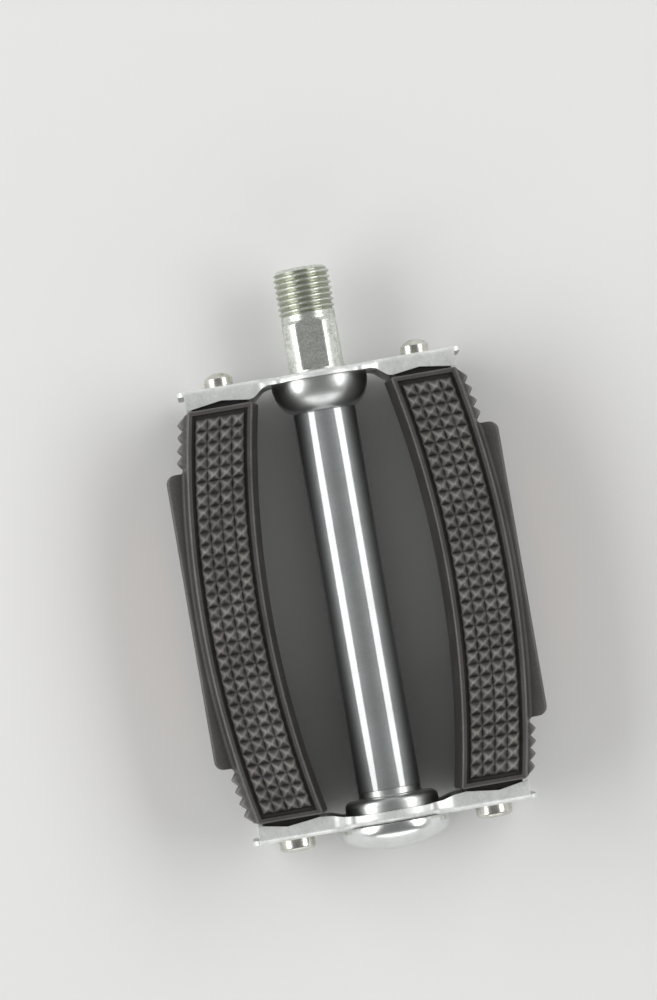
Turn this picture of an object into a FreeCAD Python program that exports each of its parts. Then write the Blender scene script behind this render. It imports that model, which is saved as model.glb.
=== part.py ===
import FreeCAD, Part
import math
import os
import re
import Sketcher

# A bicycle pedal: two rubber tread blocks in a steel cage that turns on a spindle.
# The spindle lies along Y, and its crank thread points to +Y from the origin.
# The tread faces look to +Z and -Z, and the front block is on the +X side.

SIZES = {
    # spindle, from the crank thread to the cage
    "thread_diameter": 12.7,
    "thread_length": 9.9,
    "thread_chamfer": 1.1,
    "shank_diameter": 12.1,
    "shank_length": 2.2,
    "collar_diameter": 13.4,
    "wrench_flats": 12,
    "wrench_length": 10.6,
    "wrench_turn": 3,
    "cage_gap": 0.6,
    "shaft_diameter": 9,
    "shaft_gap": 0.5,
    # cage, between the outer faces of its two plates
    "cage_length": 100.5,
    "sheet_thickness": 1,
    # centre tube and the cups pressed into its ends
    "tube_diameter": 14.1,
    "tube_wall": 1.2,
    "inner_cup_diameter": 21.4,
    "inner_cup_height": 7.7,
    "inner_cup_lip": 1.2,
    "outer_cup_diameter": 20.8,
    "outer_cup_height": 6.2,
    "outer_cup_lip": 2.5,
    "spigot_length": 4,
    "press_gap": 0.02,
    # bearing balls and the races round them
    "ball_diameter": 3.97,
    "ball_spacing": 0.08,
    "race_gap": 0.06,
    "inner_ball_circle": 14.4,
    "inner_ball_depth": 3.5,
    "outer_ball_circle": 13.2,
    "outer_ball_depth": 2.8,
    "crown_step": 0.5,
    # dust shield in the hole of the inner plate
    "shield_thickness": 0.8,
    "shield_gap": 0.4,
    # adjusting cone, lock washer and lock nut
    "end_thread_diameter": 8,
    "cone_wall": 0.5,
    "cone_nose": 1,
    "cone_flats": 12,
    "cone_hex_length": 1.8,
    "lock_washer_diameter": 13,
    "lock_washer_thickness": 0.8,
    "lock_nut_flats": 13,
    "lock_nut_height": 2.6,
    "spindle_end": 0.4,
    # dust cap
    "cap_diameter": 24.5,
    "cap_wall": 0.8,
    "cap_room": 1.5,
    "cap_edge_radius": 3.4,
    "cap_crown_radius": 26,
    # cage plates
    "plate_hole_step": 0.1,
    "disc_diameter": 24.5,
    "disc_rim_depth": 2.7,
    "wing_tip": 31.5,
    "wing_half_height": 11.3,
    "tab_half_height": 9.4,
    "tab_corner": 1.5,
    "bend_radius": 1.4,
    "flange_start": 12.6,
    "flange_end": 30,
    "flange_inner_depth": 4,
    "flange_notch_depth": 3.2,
    "flange_outer_depth": 4.4,
    "flange_corner": 2.6,
    # bolts and nuts that hold the blocks
    "bolt_spacing": 44,
    "bolt_diameter": 4,
    "bolt_gap": 0.15,
    "head_diameter": 8,
    "head_height": 3.2,
    "head_edge": 1.4,
    "recess_length": 4.4,
    "recess_width": 1,
    "recess_depth": 1.8,
    "nut_diameter": 6.3,
    "nut_base": 1.3,
    "nut_height": 3.6,
    "nut_roof": 1.4,
    "nut_slot_width": 1,
    "nut_slot_depth": 0.9,
    "bolt_end_gap": 0.3,
    "front_slot_turn": 24,
    "rear_slot_turn": 68,
    # rubber blocks
    "block_inner_edge": 15.3,
    "block_width": 14.4,
    "block_height": 25,
    "block_bow": 4.8,
    "block_flare": 1.2,
    "block_end_gap": 0.2,
    "tongue_inset": 0.8,
    "tongue_root": 3,
    "tongue_gap": 0.1,
    "panel_rim": 1.15,
    "panel_depth": 0.9,
    "panel_groove": 0.55,
    "stud_pitch": 2.73,
    "stud_height": 1.3,
    "stud_lift": 0.2,
    "stud_root": 0.6,
    # reflector frame on the outer side of each block
    "frame_reach": 37,
    "frame_length": 65.5,
    "frame_height": 16,
    "frame_corner": 1.8,
    "lens_length": 60,
    "lens_height": 12.4,
    "lens_corner": 1.5,
    "lens_thickness": 2.2,
    "lens_inset": 0.4,
    "lens_gap": 0.15,
    "shell_thickness": 1.6,
}
PANEL_COLUMNS = 4
SIDE_COLUMNS = 6

doc = FreeCAD.newDocument("BicyclePedal")
sheet = doc.addObject("Spreadsheet::Sheet", "Sizes")
for row, (alias, number) in enumerate(SIZES.items(), start=1):
    sheet.set("A%d" % row, alias)
    sheet.set("B%d" % row, str(number))
    sheet.setAlias("B%d" % row, alias)
doc.recompute()


# Sizes are written as text, which is both worked out here and bound to the sheet.

def value(text):
    return float(sheet.evalExpression(text))


def bound(text):
    def name_in_sheet(match):
        word = match.group(0)
        return "Sizes." + word if word in SIZES else word
    return re.sub(r"[a-z]\w*", name_in_sheet, text)


def bind(item, path, text):
    item.setExpression(path, bound(text))


# Places along the spindle axis, as Y from the origin.
INNER_FACE = "-(shank_length + wrench_length + cage_gap)"
OUTER_FACE = "(%s - cage_length)" % INNER_FACE
CAGE_MIDDLE = "(%s - cage_length / 2)" % INNER_FACE
INNER_CUP_RIM = "(%s - sheet_thickness)" % INNER_FACE
OUTER_CUP_RIM = "(%s + sheet_thickness)" % OUTER_FACE
INNER_BALLS = "(%s - inner_ball_depth)" % INNER_CUP_RIM
OUTER_BALLS = "(%s + outer_ball_depth)" % OUTER_CUP_RIM

# The race radius round a ball, and how far a cone's crown lies beside the ball's centre.
RACE = "(ball_diameter / 2 + race_gap)"
COLLAR_CROWN = "sqrt(%s^2 - (inner_ball_circle / 2 - collar_diameter / 2)^2)" % RACE
CONE_CROWN = "sqrt(%s^2 - crown_step^2)" % RACE
CONE_BACK = "(%s - %s)" % (OUTER_BALLS, CONE_CROWN)
CONE_NOSE = "(%s + cone_nose)" % OUTER_BALLS
CONE_SEAT = "(outer_ball_circle - 2 * %s - 2 * cone_wall)" % RACE
SHAFT_END = "(%s + %s)" % (CONE_NOSE, RACE)
WASHER_FACE = "(%s - cone_hex_length)" % CONE_BACK
NUT_FACE = "(%s - lock_washer_thickness)" % WASHER_FACE
SPINDLE_TAIL = "(%s - lock_nut_height - spindle_end)" % NUT_FACE
CAP_HEIGHT = "(%s - %s + cap_room + cap_wall)" % (OUTER_FACE, SPINDLE_TAIL)

TUBE_BORE = "(tube_diameter - 2 * tube_wall)"
SHAFT_BORE = "(shaft_diameter + 2 * shaft_gap)"
BOLT_X = "bolt_spacing / 2"
FACING_REAR = FreeCAD.Rotation(FreeCAD.Vector(0, 1, 0), 180)
FACING_OUT = FreeCAD.Rotation(FreeCAD.Vector(0, 0, 1), 180)


# Sketch and feature helpers.

def new_body(label, y="0", rotation=None):
    body = doc.addObject("PartDesign::Body", label)
    body.Label = label
    if rotation is not None:
        body.Placement = FreeCAD.Placement(FreeCAD.Vector(0, 0, 0), rotation)
    bind(body, "Placement.Base.y", y)
    return body


def origin_item(body, role):
    return next(item for item in body.Origin.OriginFeatures if item.Role == role)


def new_sketch(body, name, plane, offset=None, turn=None):
    sketch = body.newObject("Sketcher::SketchObject", name)
    sketch.AttachmentSupport = [(origin_item(body, plane), "")]
    sketch.MapMode = "FlatFace"
    if offset is not None:
        bind(sketch, "AttachmentOffset.Base.z", offset)
    if turn is not None:
        about_normal = FreeCAD.Rotation(FreeCAD.Vector(0, 0, 1), value(turn))
        sketch.AttachmentOffset = FreeCAD.Placement(FreeCAD.Vector(0, 0, 0), about_normal)
        bind(sketch, "AttachmentOffset.Rotation.Angle", turn)
    return sketch


def hold(sketch, kind, text, *ends):
    place = sketch.addConstraint(Sketcher.Constraint(kind, *ends, value(text)))
    bind(sketch, "Constraints[%d]" % place, text)


# An outline's corner is (x, y), or (x, y, side, radius) where an arc leaves it
# with its centre on that side of the way to the next corner.

def draw(sketch, corners):
    first = sketch.GeometryCount
    count = len(corners)
    spots = [FreeCAD.Vector(value(corner[0]), value(corner[1]), 0) for corner in corners]
    ends = []
    for index, corner in enumerate(corners):
        here = spots[index]
        there = spots[(index + 1) % count]
        if len(corner) == 2:
            sketch.addGeometry(Part.LineSegment(here, there), False)
            ends.append((1, 2))
            continue
        side, radius = corner[2], value(corner[3])
        chord = there - here
        left = FreeCAD.Vector(-chord.y, chord.x, 0).normalize()
        depth = math.sqrt(max(radius**2 - (chord.Length / 2)**2, 0))
        centre = (here + there) / 2 + left * (depth if side == "left" else -depth)
        circle = Part.Circle(centre, FreeCAD.Vector(0, 0, 1), radius)
        spread = [math.atan2(spot.y - centre.y, spot.x - centre.x) for spot in (here, there)]
        if side == "left":
            sketch.addGeometry(Part.ArcOfCircle(circle, spread[0], spread[1]), False)
            ends.append((1, 2))
        else:
            sketch.addGeometry(Part.ArcOfCircle(circle, spread[1], spread[0]), False)
            ends.append((2, 1))
    for index in range(count):
        follower = (index + 1) % count
        sketch.addConstraint(Sketcher.Constraint(
            "Coincident", first + index, ends[index][1], first + follower, ends[follower][0]))
    for index, corner in enumerate(corners):
        hold(sketch, "DistanceX", corner[0], -1, 1, first + index, ends[index][0])
        hold(sketch, "DistanceY", corner[1], -1, 1, first + index, ends[index][0])
        if len(corner) > 2:
            hold(sketch, "Radius", corner[3], first + index)


def draw_circle(sketch, x, y, diameter):
    centre = FreeCAD.Vector(value(x), value(y), 0)
    circle = sketch.addGeometry(Part.Circle(centre, FreeCAD.Vector(0, 0, 1), value(diameter) / 2), False)
    hold(sketch, "DistanceX", x, -1, 1, circle, 3)
    hold(sketch, "DistanceY", y, -1, 1, circle, 3)
    hold(sketch, "Diameter", diameter, circle)


def draw_hexagon(sketch, flats):
    reach = flats + " / sqrt(3)"
    corners = []
    for angle in range(0, 360, 60):
        corners.append(("%s * cos(%d deg)" % (reach, angle), "%s * sin(%d deg)" % (reach, angle)))
    draw(sketch, corners)


# A rectangle with rounded corners, centred on the sketch's origin.

def draw_rounded(sketch, half_x, half_y, corner):
    short_x = "(%s - %s)" % (half_x, corner)
    short_y = "(%s - %s)" % (half_y, corner)
    draw(sketch, [
        ("-" + short_x, "-" + half_y),
        (short_x, "-" + half_y, "left", corner),
        (half_x, "-" + short_y),
        (half_x, short_y, "left", corner),
        (short_x, half_y),
        ("-" + short_x, half_y, "left", corner),
        ("-" + half_x, short_y),
        ("-" + half_x, "-" + short_y, "left", corner),
    ])


def revolve(body, name, corners):
    sketch = new_sketch(body, name + "Profile", "XY_Plane")
    draw(sketch, corners)
    turned = body.newObject("PartDesign::Revolution", name)
    turned.Profile = sketch
    turned.ReferenceAxis = (sketch, ["V_Axis"])
    turned.Angle = 360
    doc.recompute()
    return turned


def pad(body, name, sketch, length, symmetric=False):
    feature = body.newObject("PartDesign::Pad", name)
    feature.Profile = sketch
    feature.SideType = "Symmetric" if symmetric else "One side"
    bind(feature, "Length", length)
    doc.recompute()
    return feature


def pocket(body, name, sketch, length=None, reverse=False):
    before = body.Shape.Volume
    feature = body.newObject("PartDesign::Pocket", name)
    feature.Profile = sketch
    feature.Reversed = reverse
    if length is None:
        feature.Type = "ThroughAll"
        feature.SideType = "Symmetric"
    else:
        bind(feature, "Length", length)
    doc.recompute()
    if not body.Shape.Volume < before:
        raise RuntimeError(body.Label + ": " + name + " removes nothing")
    return feature


def mirror(body, name, features, plane):
    feature = body.newObject("PartDesign::Mirrored", name)
    feature.Originals = features
    feature.MirrorPlane = (origin_item(body, plane), [""])
    body.Tip = feature
    doc.recompute()
    return feature


# Spindle.

def make_spindle():
    body = new_body("spindle")
    revolve(body, "Turned", [
        ("0", "thread_length"),
        ("thread_diameter / 2 - thread_chamfer", "thread_length"),
        ("thread_diameter / 2", "thread_length - thread_chamfer"),
        ("thread_diameter / 2", "0"),
        ("shank_diameter / 2", "0"),
        ("shank_diameter / 2", "-shank_length"),
        ("collar_diameter / 2", "-shank_length"),
        ("collar_diameter / 2", "%s + %s" % (INNER_BALLS, COLLAR_CROWN), "left", RACE),
        ("inner_ball_circle / 2 - %s" % RACE, INNER_BALLS),
        ("shaft_diameter / 2", INNER_BALLS),
        ("shaft_diameter / 2", SHAFT_END),
        (CONE_SEAT + " / 2", SHAFT_END),
        (CONE_SEAT + " / 2", WASHER_FACE),
        ("end_thread_diameter / 2", WASHER_FACE),
        ("end_thread_diameter / 2", SPINDLE_TAIL),
        ("0", SPINDLE_TAIL),
    ])
    flats = new_sketch(body, "FlatsOutline", "XZ_Plane", "shank_length", "wrench_turn")
    draw_circle(flats, "0", "0", "2 * wrench_flats")
    half = "wrench_flats / 2"
    draw(flats, [("-" + half, "-" + half), (half, "-" + half), (half, half), ("-" + half, half)])
    pocket(body, "Flats", flats, "wrench_length", reverse=True)
    return body


def make_ring(label, y, inner_diameter, outer_diameter, thickness):
    body = new_body(label, y)
    revolve(body, "Ring", [
        ("%s / 2" % inner_diameter, "0"),
        ("%s / 2" % inner_diameter, "-" + thickness),
        ("%s / 2" % outer_diameter, "-" + thickness),
        ("%s / 2" % outer_diameter, "0"),
    ])
    return body


# Cups, tube and what closes the bearings.

PLATE_HOLE = "(%s_ball_circle + 2 * " + RACE + " + 2 * plate_hole_step)"


def make_cup(label, end, rotation=None):
    def size(text):
        return text.replace("CUP", end + "_cup").replace("BALL", end + "_ball")
    body = new_body(label, INNER_CUP_RIM if end == "inner" else OUTER_CUP_RIM, rotation)
    spigot = "%s / 2 - press_gap" % TUBE_BORE
    side = size("(CUP_diameter / 2 - tube_diameter / 2)")
    drop = size("(CUP_height - CUP_lip)")
    race_floor = size("-(BALL_depth + %s)" % RACE)
    revolve(body, "Pressed", [
        (size("BALL_circle / 2 + %s" % RACE), "0"),
        (size("BALL_circle / 2 + %s" % RACE), size("-BALL_depth"), "right", RACE),
        (size("BALL_circle / 2"), race_floor),
        ("%s / 2" % SHAFT_BORE, race_floor),
        ("%s / 2" % SHAFT_BORE, size("-(CUP_height + spigot_length)")),
        (spigot, size("-(CUP_height + spigot_length)")),
        (spigot, size("-CUP_height")),
        ("tube_diameter / 2", size("-CUP_height"), "left", "(%s^2 + %s^2) / (2 * %s)" % (side, drop, side)),
        (size("CUP_diameter / 2"), size("-CUP_lip")),
        (size("CUP_diameter / 2"), "0"),
    ])
    return body


def make_tube():
    length = "(cage_length - 2 * sheet_thickness - inner_cup_height - outer_cup_height)"
    inboard_end = "%s - inner_cup_height" % INNER_CUP_RIM
    return make_ring("centre_tube", inboard_end, TUBE_BORE, "tube_diameter", length)


def make_cone():
    body = new_body("outer_cone")
    bore = CONE_SEAT + " / 2 + press_gap"
    revolve(body, "Race", [
        (bore, CONE_NOSE),
        (bore, CONE_BACK),
        ("outer_ball_circle / 2 - crown_step", CONE_BACK, "right", RACE),
        ("outer_ball_circle / 2 - %s" % RACE, OUTER_BALLS),
        ("outer_ball_circle / 2 - %s" % RACE, CONE_NOSE),
    ])
    hexagon = new_sketch(body, "HexOutline", "XZ_Plane", "-" + CONE_BACK)
    draw_hexagon(hexagon, "cone_flats")
    draw_circle(hexagon, "0", "0", "2 * (%s)" % bore)
    pad(body, "Hex", hexagon, "cone_hex_length")
    return body


def make_lock_nut():
    body = new_body("lock_nut", NUT_FACE)
    hexagon = new_sketch(body, "HexOutline", "XZ_Plane")
    draw_hexagon(hexagon, "lock_nut_flats")
    draw_circle(hexagon, "0", "0", "end_thread_diameter + 2 * press_gap")
    pad(body, "Hex", hexagon, "lock_nut_height")
    return body


# The cap's shallow crown and its rounded edge are arcs that run smoothly into each other.

def make_dust_cap():
    body = new_body("dust_cap", OUTER_FACE)
    spread = "(cap_diameter / 2 - cap_edge_radius)"
    rise = "sqrt((cap_crown_radius - cap_edge_radius)^2 - %s^2)" % spread
    crown_centre = "(cap_crown_radius - %s)" % CAP_HEIGHT
    skirt = "(%s - %s)" % (crown_centre, rise)

    def meeting(crown_radius):
        share = "%s / (cap_crown_radius - cap_edge_radius)" % crown_radius
        return "%s * %s" % (spread, share), "%s - %s * %s" % (crown_centre, rise, share)

    inner_crown = "(cap_crown_radius - cap_wall)"
    revolve(body, "Dish", [
        ("cap_diameter / 2 - cap_wall", "0"),
        ("cap_diameter / 2 - cap_wall", skirt, "right", "cap_edge_radius - cap_wall"),
        (*meeting(inner_crown), "right", inner_crown),
        ("0", "-(%s - cap_wall)" % CAP_HEIGHT),
        ("0", "-" + CAP_HEIGHT, "left", "cap_crown_radius"),
        (*meeting("cap_crown_radius"), "left", "cap_edge_radius"),
        ("cap_diameter / 2", skirt),
        ("cap_diameter / 2", "0"),
    ])
    return body


# A set of loose balls in its race.

def make_balls(label, y, circle):
    pitch = "(ball_diameter + ball_spacing)"
    count = math.floor(math.pi / math.asin(value(pitch) / value(circle)))
    balls = []
    for index in range(count):
        angle = 360 / count * index
        ball = doc.addObject("Part::Sphere", "%s_ball_%d" % (label, index))
        bind(ball, "Radius", "ball_diameter / 2")
        bind(ball, "Placement.Base.x", "%s / 2 * cos(%.6f deg)" % (circle, angle))
        bind(ball, "Placement.Base.y", y)
        bind(ball, "Placement.Base.z", "%s / 2 * sin(%.6f deg)" % (circle, angle))
        balls.append(ball)
    group = doc.addObject("Part::Compound", label)
    group.Label = label
    group.Links = balls
    return group


# A cage plate, with its outer face at Y = 0 and its flanges pointing to -Y.

def make_plate(label, end, y, rotation=None):
    body = new_body(label, y, rotation)
    web = new_sketch(body, "WebOutline", "XZ_Plane")
    draw_rounded(web, "wing_tip", "tab_half_height", "tab_corner")
    draw_circle(web, "0", "0", PLATE_HOLE % end)
    pad(body, "Web", web, "sheet_thickness")
    disc = new_sketch(body, "DiscOutline", "XZ_Plane")
    draw_circle(disc, "0", "0", "disc_diameter")
    draw_circle(disc, "0", "0", PLATE_HOLE % end)
    pad(body, "Disc", disc, "sheet_thickness")
    if end == "outer":
        rim = new_sketch(body, "RimOutline", "XZ_Plane")
        draw_circle(rim, "0", "0", "disc_diameter")
        draw_circle(rim, "0", "0", "disc_diameter - 2 * sheet_thickness")
        pad(body, "Rim", rim, "disc_rim_depth")
    make_flanges(body)
    holes = new_sketch(body, "BoltHoles", "XZ_Plane")
    draw_circle(holes, BOLT_X, "0", "bolt_diameter + 2 * bolt_gap")
    draw_circle(holes, "-" + BOLT_X, "0", "bolt_diameter + 2 * bolt_gap")
    pocket(body, "Drilled", holes)
    return body


# The flanges: a bent channel on each wing, with its edges cut to shape.

def make_flanges(body):
    top = "wing_half_height"
    under = "(wing_half_height - sheet_thickness)"
    turn = "(wing_half_height - bend_radius)"
    inside = "bend_radius - sheet_thickness"
    channel = new_sketch(body, "ChannelSection", "YZ_Plane", "flange_start")
    draw(channel, [
        ("0", "-" + turn),
        ("0", turn, "left", "bend_radius"),
        ("-bend_radius", top),
        ("-flange_outer_depth", top),
        ("-flange_outer_depth", under),
        ("-bend_radius", under, "right", inside),
        ("-sheet_thickness", turn),
        ("-sheet_thickness", "-" + turn, "right", inside),
        ("-bend_radius", "-" + under),
        ("-flange_outer_depth", "-" + under),
        ("-flange_outer_depth", "-" + top),
        ("-bend_radius", "-" + top, "left", "bend_radius"),
    ])
    wing = pad(body, "Channel", channel, "flange_end - flange_start")
    beyond = "flange_end + sheet_thickness"
    below = "-(flange_outer_depth + sheet_thickness)"
    trim = new_sketch(body, "TrimOutline", "XY_Plane")
    draw(trim, [
        ("flange_start - sheet_thickness", below),
        (beyond, below),
        (beyond, "-flange_outer_depth"),
        ("flange_end", "-flange_outer_depth"),
        (BOLT_X, "-flange_notch_depth"),
        ("flange_start + flange_corner", "-flange_inner_depth", "right", "flange_corner"),
        ("flange_start", "-(flange_inner_depth - flange_corner)"),
        ("flange_start - sheet_thickness", "-(flange_inner_depth - flange_corner)"),
    ])
    trimmed = pocket(body, "Trim", trim)
    mirror(body, "OtherWing", [wing, trimmed], "YZ_Plane")


# Bolts and nuts.

def make_bolt(label, side):
    body = new_body(label, OUTER_FACE)
    bind(body, "Placement.Base.x", side + BOLT_X)
    length = "cage_length + nut_height - nut_roof - bolt_end_gap"
    crown = "(head_height - head_edge)"
    revolve(body, "Turned", [
        ("0", "-head_height", "left", "((head_diameter / 2)^2 + %s^2) / (2 * %s)" % (crown, crown)),
        ("head_diameter / 2", "-head_edge"),
        ("head_diameter / 2", "0"),
        ("bolt_diameter / 2", "0"),
        ("bolt_diameter / 2", length),
        ("0", length),
    ])
    far = "recess_length / 2"
    near = "recess_width / 2"
    cross = new_sketch(body, "RecessOutline", "XZ_Plane", "head_height")
    draw(cross, [
        (near, near), (near, far), ("-" + near, far), ("-" + near, near),
        ("-" + far, near), ("-" + far, "-" + near), ("-" + near, "-" + near), ("-" + near, "-" + far),
        (near, "-" + far), (near, "-" + near), (far, "-" + near), (far, near),
    ])
    pocket(body, "Recess", cross, "recess_depth")
    return body


def make_nut(label, side, slot_turn):
    body = new_body(label, INNER_FACE)
    bind(body, "Placement.Base.x", side + BOLT_X)
    dome = "(nut_height - nut_base)"
    thread = "bolt_diameter / 2 + press_gap"
    revolve(body, "Turned", [
        (thread, "0"),
        ("nut_diameter / 2", "0"),
        ("nut_diameter / 2", "nut_base", "left", "((nut_diameter / 2)^2 + %s^2) / (2 * %s)" % (dome, dome)),
        ("0", "nut_height"),
        ("0", "nut_height - nut_roof"),
        (thread, "nut_height - nut_roof"),
    ])
    half_length = "nut_diameter"
    half_width = "nut_slot_width / 2"
    slot = new_sketch(body, "SlotOutline", "XZ_Plane", "-nut_height", slot_turn)
    draw(slot, [
        ("-" + half_length, "-" + half_width),
        (half_length, "-" + half_width),
        (half_length, half_width),
        ("-" + half_length, half_width),
    ])
    pocket(body, "Slot", slot, "nut_slot_depth", reverse=True)
    return body


# Rubber blocks. Their long sides are arcs that bow away from the spindle.

BLOCK_HALF = "(cage_length / 2 - flange_outer_depth - block_end_gap)"
BLOCK_TOP = "block_height / 2"
BOW_RADIUS = "((%s^2 + block_bow^2) / (2 * block_bow))" % BLOCK_HALF
PANEL_HALF = "(%s - panel_rim)" % BLOCK_HALF


def bow_at(y):
    return "(sqrt(%s^2 - %s^2) - %s + block_bow)" % (BOW_RADIUS, y, BOW_RADIUS)


def draw_bowed(sketch, inner_edge, outer_edge, half):
    draw(sketch, [
        (inner_edge, "-" + half),
        (outer_edge, "-" + half, "left", BOW_RADIUS),
        (outer_edge, half),
        (inner_edge, half, "right", BOW_RADIUS),
    ])


def make_block_core(label):
    body = new_body(label)
    outer_edge = "block_inner_edge + block_width"
    middle = new_sketch(body, "MiddleOutline", "XY_Plane")
    draw_bowed(middle, "block_inner_edge - block_flare", outer_edge + " + block_flare", BLOCK_HALF)
    top = new_sketch(body, "TopOutline", "XY_Plane", BLOCK_TOP)
    draw_bowed(top, "block_inner_edge", outer_edge, BLOCK_HALF)
    half = body.newObject("PartDesign::AdditiveLoft", "UpperHalf")
    half.Profile = middle
    half.Sections = [top]
    half.Ruled = True
    doc.recompute()
    panel = new_sketch(body, "PanelOutline", "XY_Plane", BLOCK_TOP)
    shift = bow_at(PANEL_HALF)
    draw_bowed(panel, "block_inner_edge + panel_rim + " + shift,
               outer_edge + " - panel_rim + " + shift, PANEL_HALF)
    recess = pocket(body, "PanelRecess", panel, "panel_depth")
    mirror(body, "LowerHalf", [half, recess], "XY_Plane")

    tongue = new_sketch(body, "TongueOutline", "XY_Plane")
    reach = "(cage_length / 2 - sheet_thickness)"
    near, far = "block_inner_edge + tongue_inset", outer_edge + " - tongue_inset"
    root = "(%s - tongue_root)" % BLOCK_HALF
    for low, high in (("-" + reach, "-" + root), (root, reach)):
        draw(tongue, [(near, low), (far, low), (far, high), (near, high)])
    pad(body, "Tongues", tongue, "2 * (wing_half_height - bend_radius - tongue_gap)", symmetric=True)

    frame = new_sketch(body, "FrameOutline", "XY_Plane")
    frame_root = "block_inner_edge + block_width / 2"
    end = "frame_length / 2"
    draw(frame, [
        (frame_root, "-" + end),
        ("frame_reach - frame_corner", "-" + end, "left", "frame_corner"),
        ("frame_reach", "-(%s - frame_corner)" % end),
        ("frame_reach", "(%s - frame_corner)" % end, "left", "frame_corner"),
        ("frame_reach - frame_corner", end),
        (frame_root, end),
    ])
    pad(body, "Frame", frame, "frame_height", symmetric=True)
    seat = new_sketch(body, "LensSeat", "YZ_Plane", "frame_reach")
    draw_rounded(seat, "(lens_length / 2 + lens_gap)", "(lens_height / 2 + lens_gap)", "lens_corner")
    pocket(body, "LensRecess", seat, "lens_inset + lens_thickness + shell_thickness")
    hole = new_sketch(body, "BoltHole", "XZ_Plane")
    draw_circle(hole, BOLT_X, "0", "bolt_diameter + 2 * bolt_gap")
    pocket(body, "Bore", hole)
    return body


# A field of pyramid studs as one solid. place(column, row, height) gives a point of the field,
# and root(column, row) the point under it, inside the block.

def stud_field(columns, rows, place, root):
    lift = value("stud_lift")
    tip = lift + value("stud_height")
    faces = []

    def add(*points):
        faces.append(Part.Face(Part.makePolygon(list(points) + [points[0]])))

    for column in range(columns):
        for row in range(rows):
            peak = place(column + 0.5, row + 0.5, tip)
            ring = [(column, row), (column + 1, row), (column + 1, row + 1), (column, row + 1)]
            for step in range(4):
                here = place(*ring[step], lift)
                there = place(*ring[(step + 1) % 4], lift)
                add(here, there, peak)
    border = [(column, 0) for column in range(columns)]
    border += [(columns, row) for row in range(rows)]
    border += [(column, rows) for column in range(columns, 0, -1)]
    border += [(0, row) for row in range(rows, 0, -1)]
    for step, here in enumerate(border):
        there = border[(step + 1) % len(border)]
        add(place(*here, lift), place(*there, lift), root(*there), root(*here))
    add(*[root(*spot) for spot in border])
    shell = Part.makeShell(faces)
    shell.sewShape()
    solid = Part.Solid(shell)
    if solid.Volume < 0:
        solid.reverse()
    return solid


# The side studs stand half a row off the panel's rows.

def panel_rows():
    return math.floor(2 * value("(%s - panel_groove) / stud_pitch" % PANEL_HALF))


def panel_studs(side):
    pitch = value("stud_pitch")
    rows = panel_rows()
    left = value("block_inner_edge + block_width / 2") - PANEL_COLUMNS * pitch / 2
    floor = value("%s - panel_depth" % BLOCK_TOP)

    def place(column, row, height):
        y = (row - rows / 2) * pitch
        x = left + column * pitch + value(bow_at("(%.9f)" % y))
        return FreeCAD.Vector(x, y, side * (floor + height))

    def root(column, row):
        return place(column, row, -value("stud_root"))

    return stud_field(PANEL_COLUMNS, rows, place, root)


def side_studs(end):
    pitch = value("stud_pitch")
    middle_line = (panel_rows() - 1) / 2
    first = math.ceil(value("(frame_length / 2 + panel_groove / 2) / stud_pitch") + middle_line)
    last = math.floor(value("(%s - panel_groove / 2) / stud_pitch" % BLOCK_HALF) + middle_line)
    edge = value("block_inner_edge + block_width")
    flare = value("block_flare")
    half_height = value(BLOCK_TOP)

    def place(column, row, height):
        y = end * (first + row - middle_line) * pitch
        z = (column - SIDE_COLUMNS / 2) * pitch
        x = edge + value(bow_at("(%.9f)" % y)) + flare * (1 - abs(z) / half_height)
        return FreeCAD.Vector(x + height, y, z)

    def root(column, row):
        spot = place(column, row, 0)
        return FreeCAD.Vector(edge - value("stud_root"), spot.y, spot.z)

    return stud_field(SIDE_COLUMNS, last - first, place, root)


def make_block(label, rotation):
    pieces = [make_block_core(label + "_core")]
    fields = {
        "upper_studs": panel_studs(1),
        "lower_studs": panel_studs(-1),
        "inboard_side_studs": side_studs(1),
        "outboard_side_studs": side_studs(-1),
    }
    for name, shape in fields.items():
        field = doc.addObject("Part::Feature", label + "_" + name)
        field.Shape = shape
        field.Placement = FreeCAD.Placement()
        pieces.append(field)
    block = doc.addObject("Part::MultiFuse", label)
    block.Label = label
    block.Shapes = pieces
    block.Placement = FreeCAD.Placement(FreeCAD.Vector(0, 0, 0), rotation)
    bind(block, "Placement.Base.y", CAGE_MIDDLE)
    return block


# Reflector lens and the shell behind it.

def make_tile(label, rotation, back, thickness):
    body = new_body(label, CAGE_MIDDLE, rotation)
    outline = new_sketch(body, "Outline", "YZ_Plane", back)
    draw_rounded(outline, "(lens_length / 2)", "(lens_height / 2)", "(lens_corner - lens_gap)")
    pad(body, "Tile", outline, thickness)
    return body


# The whole pedal.

parts = [
    make_spindle(),
    make_ring("inner_dust_shield", INNER_FACE, "(collar_diameter + 2 * press_gap)",
              "(%s - 2 * shield_gap)" % (PLATE_HOLE % "inner"), "shield_thickness"),
    make_cone(),
    make_ring("lock_washer", WASHER_FACE, "(end_thread_diameter + 2 * press_gap)",
              "lock_washer_diameter", "lock_washer_thickness"),
    make_lock_nut(),
    make_balls("inner_balls", INNER_BALLS, "inner_ball_circle"),
    make_balls("outer_balls", OUTER_BALLS, "outer_ball_circle"),
    make_cup("inner_cup", "inner"),
    make_cup("outer_cup", "outer", FACING_OUT),
    make_tube(),
    make_dust_cap(),
    make_plate("inner_plate", "inner", INNER_FACE),
    make_plate("outer_plate", "outer", OUTER_FACE, FACING_OUT),
]
LENS_BACK = "(frame_reach - lens_inset - lens_thickness)"
SHELL_BACK = "(%s - shell_thickness)" % LENS_BACK
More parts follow.
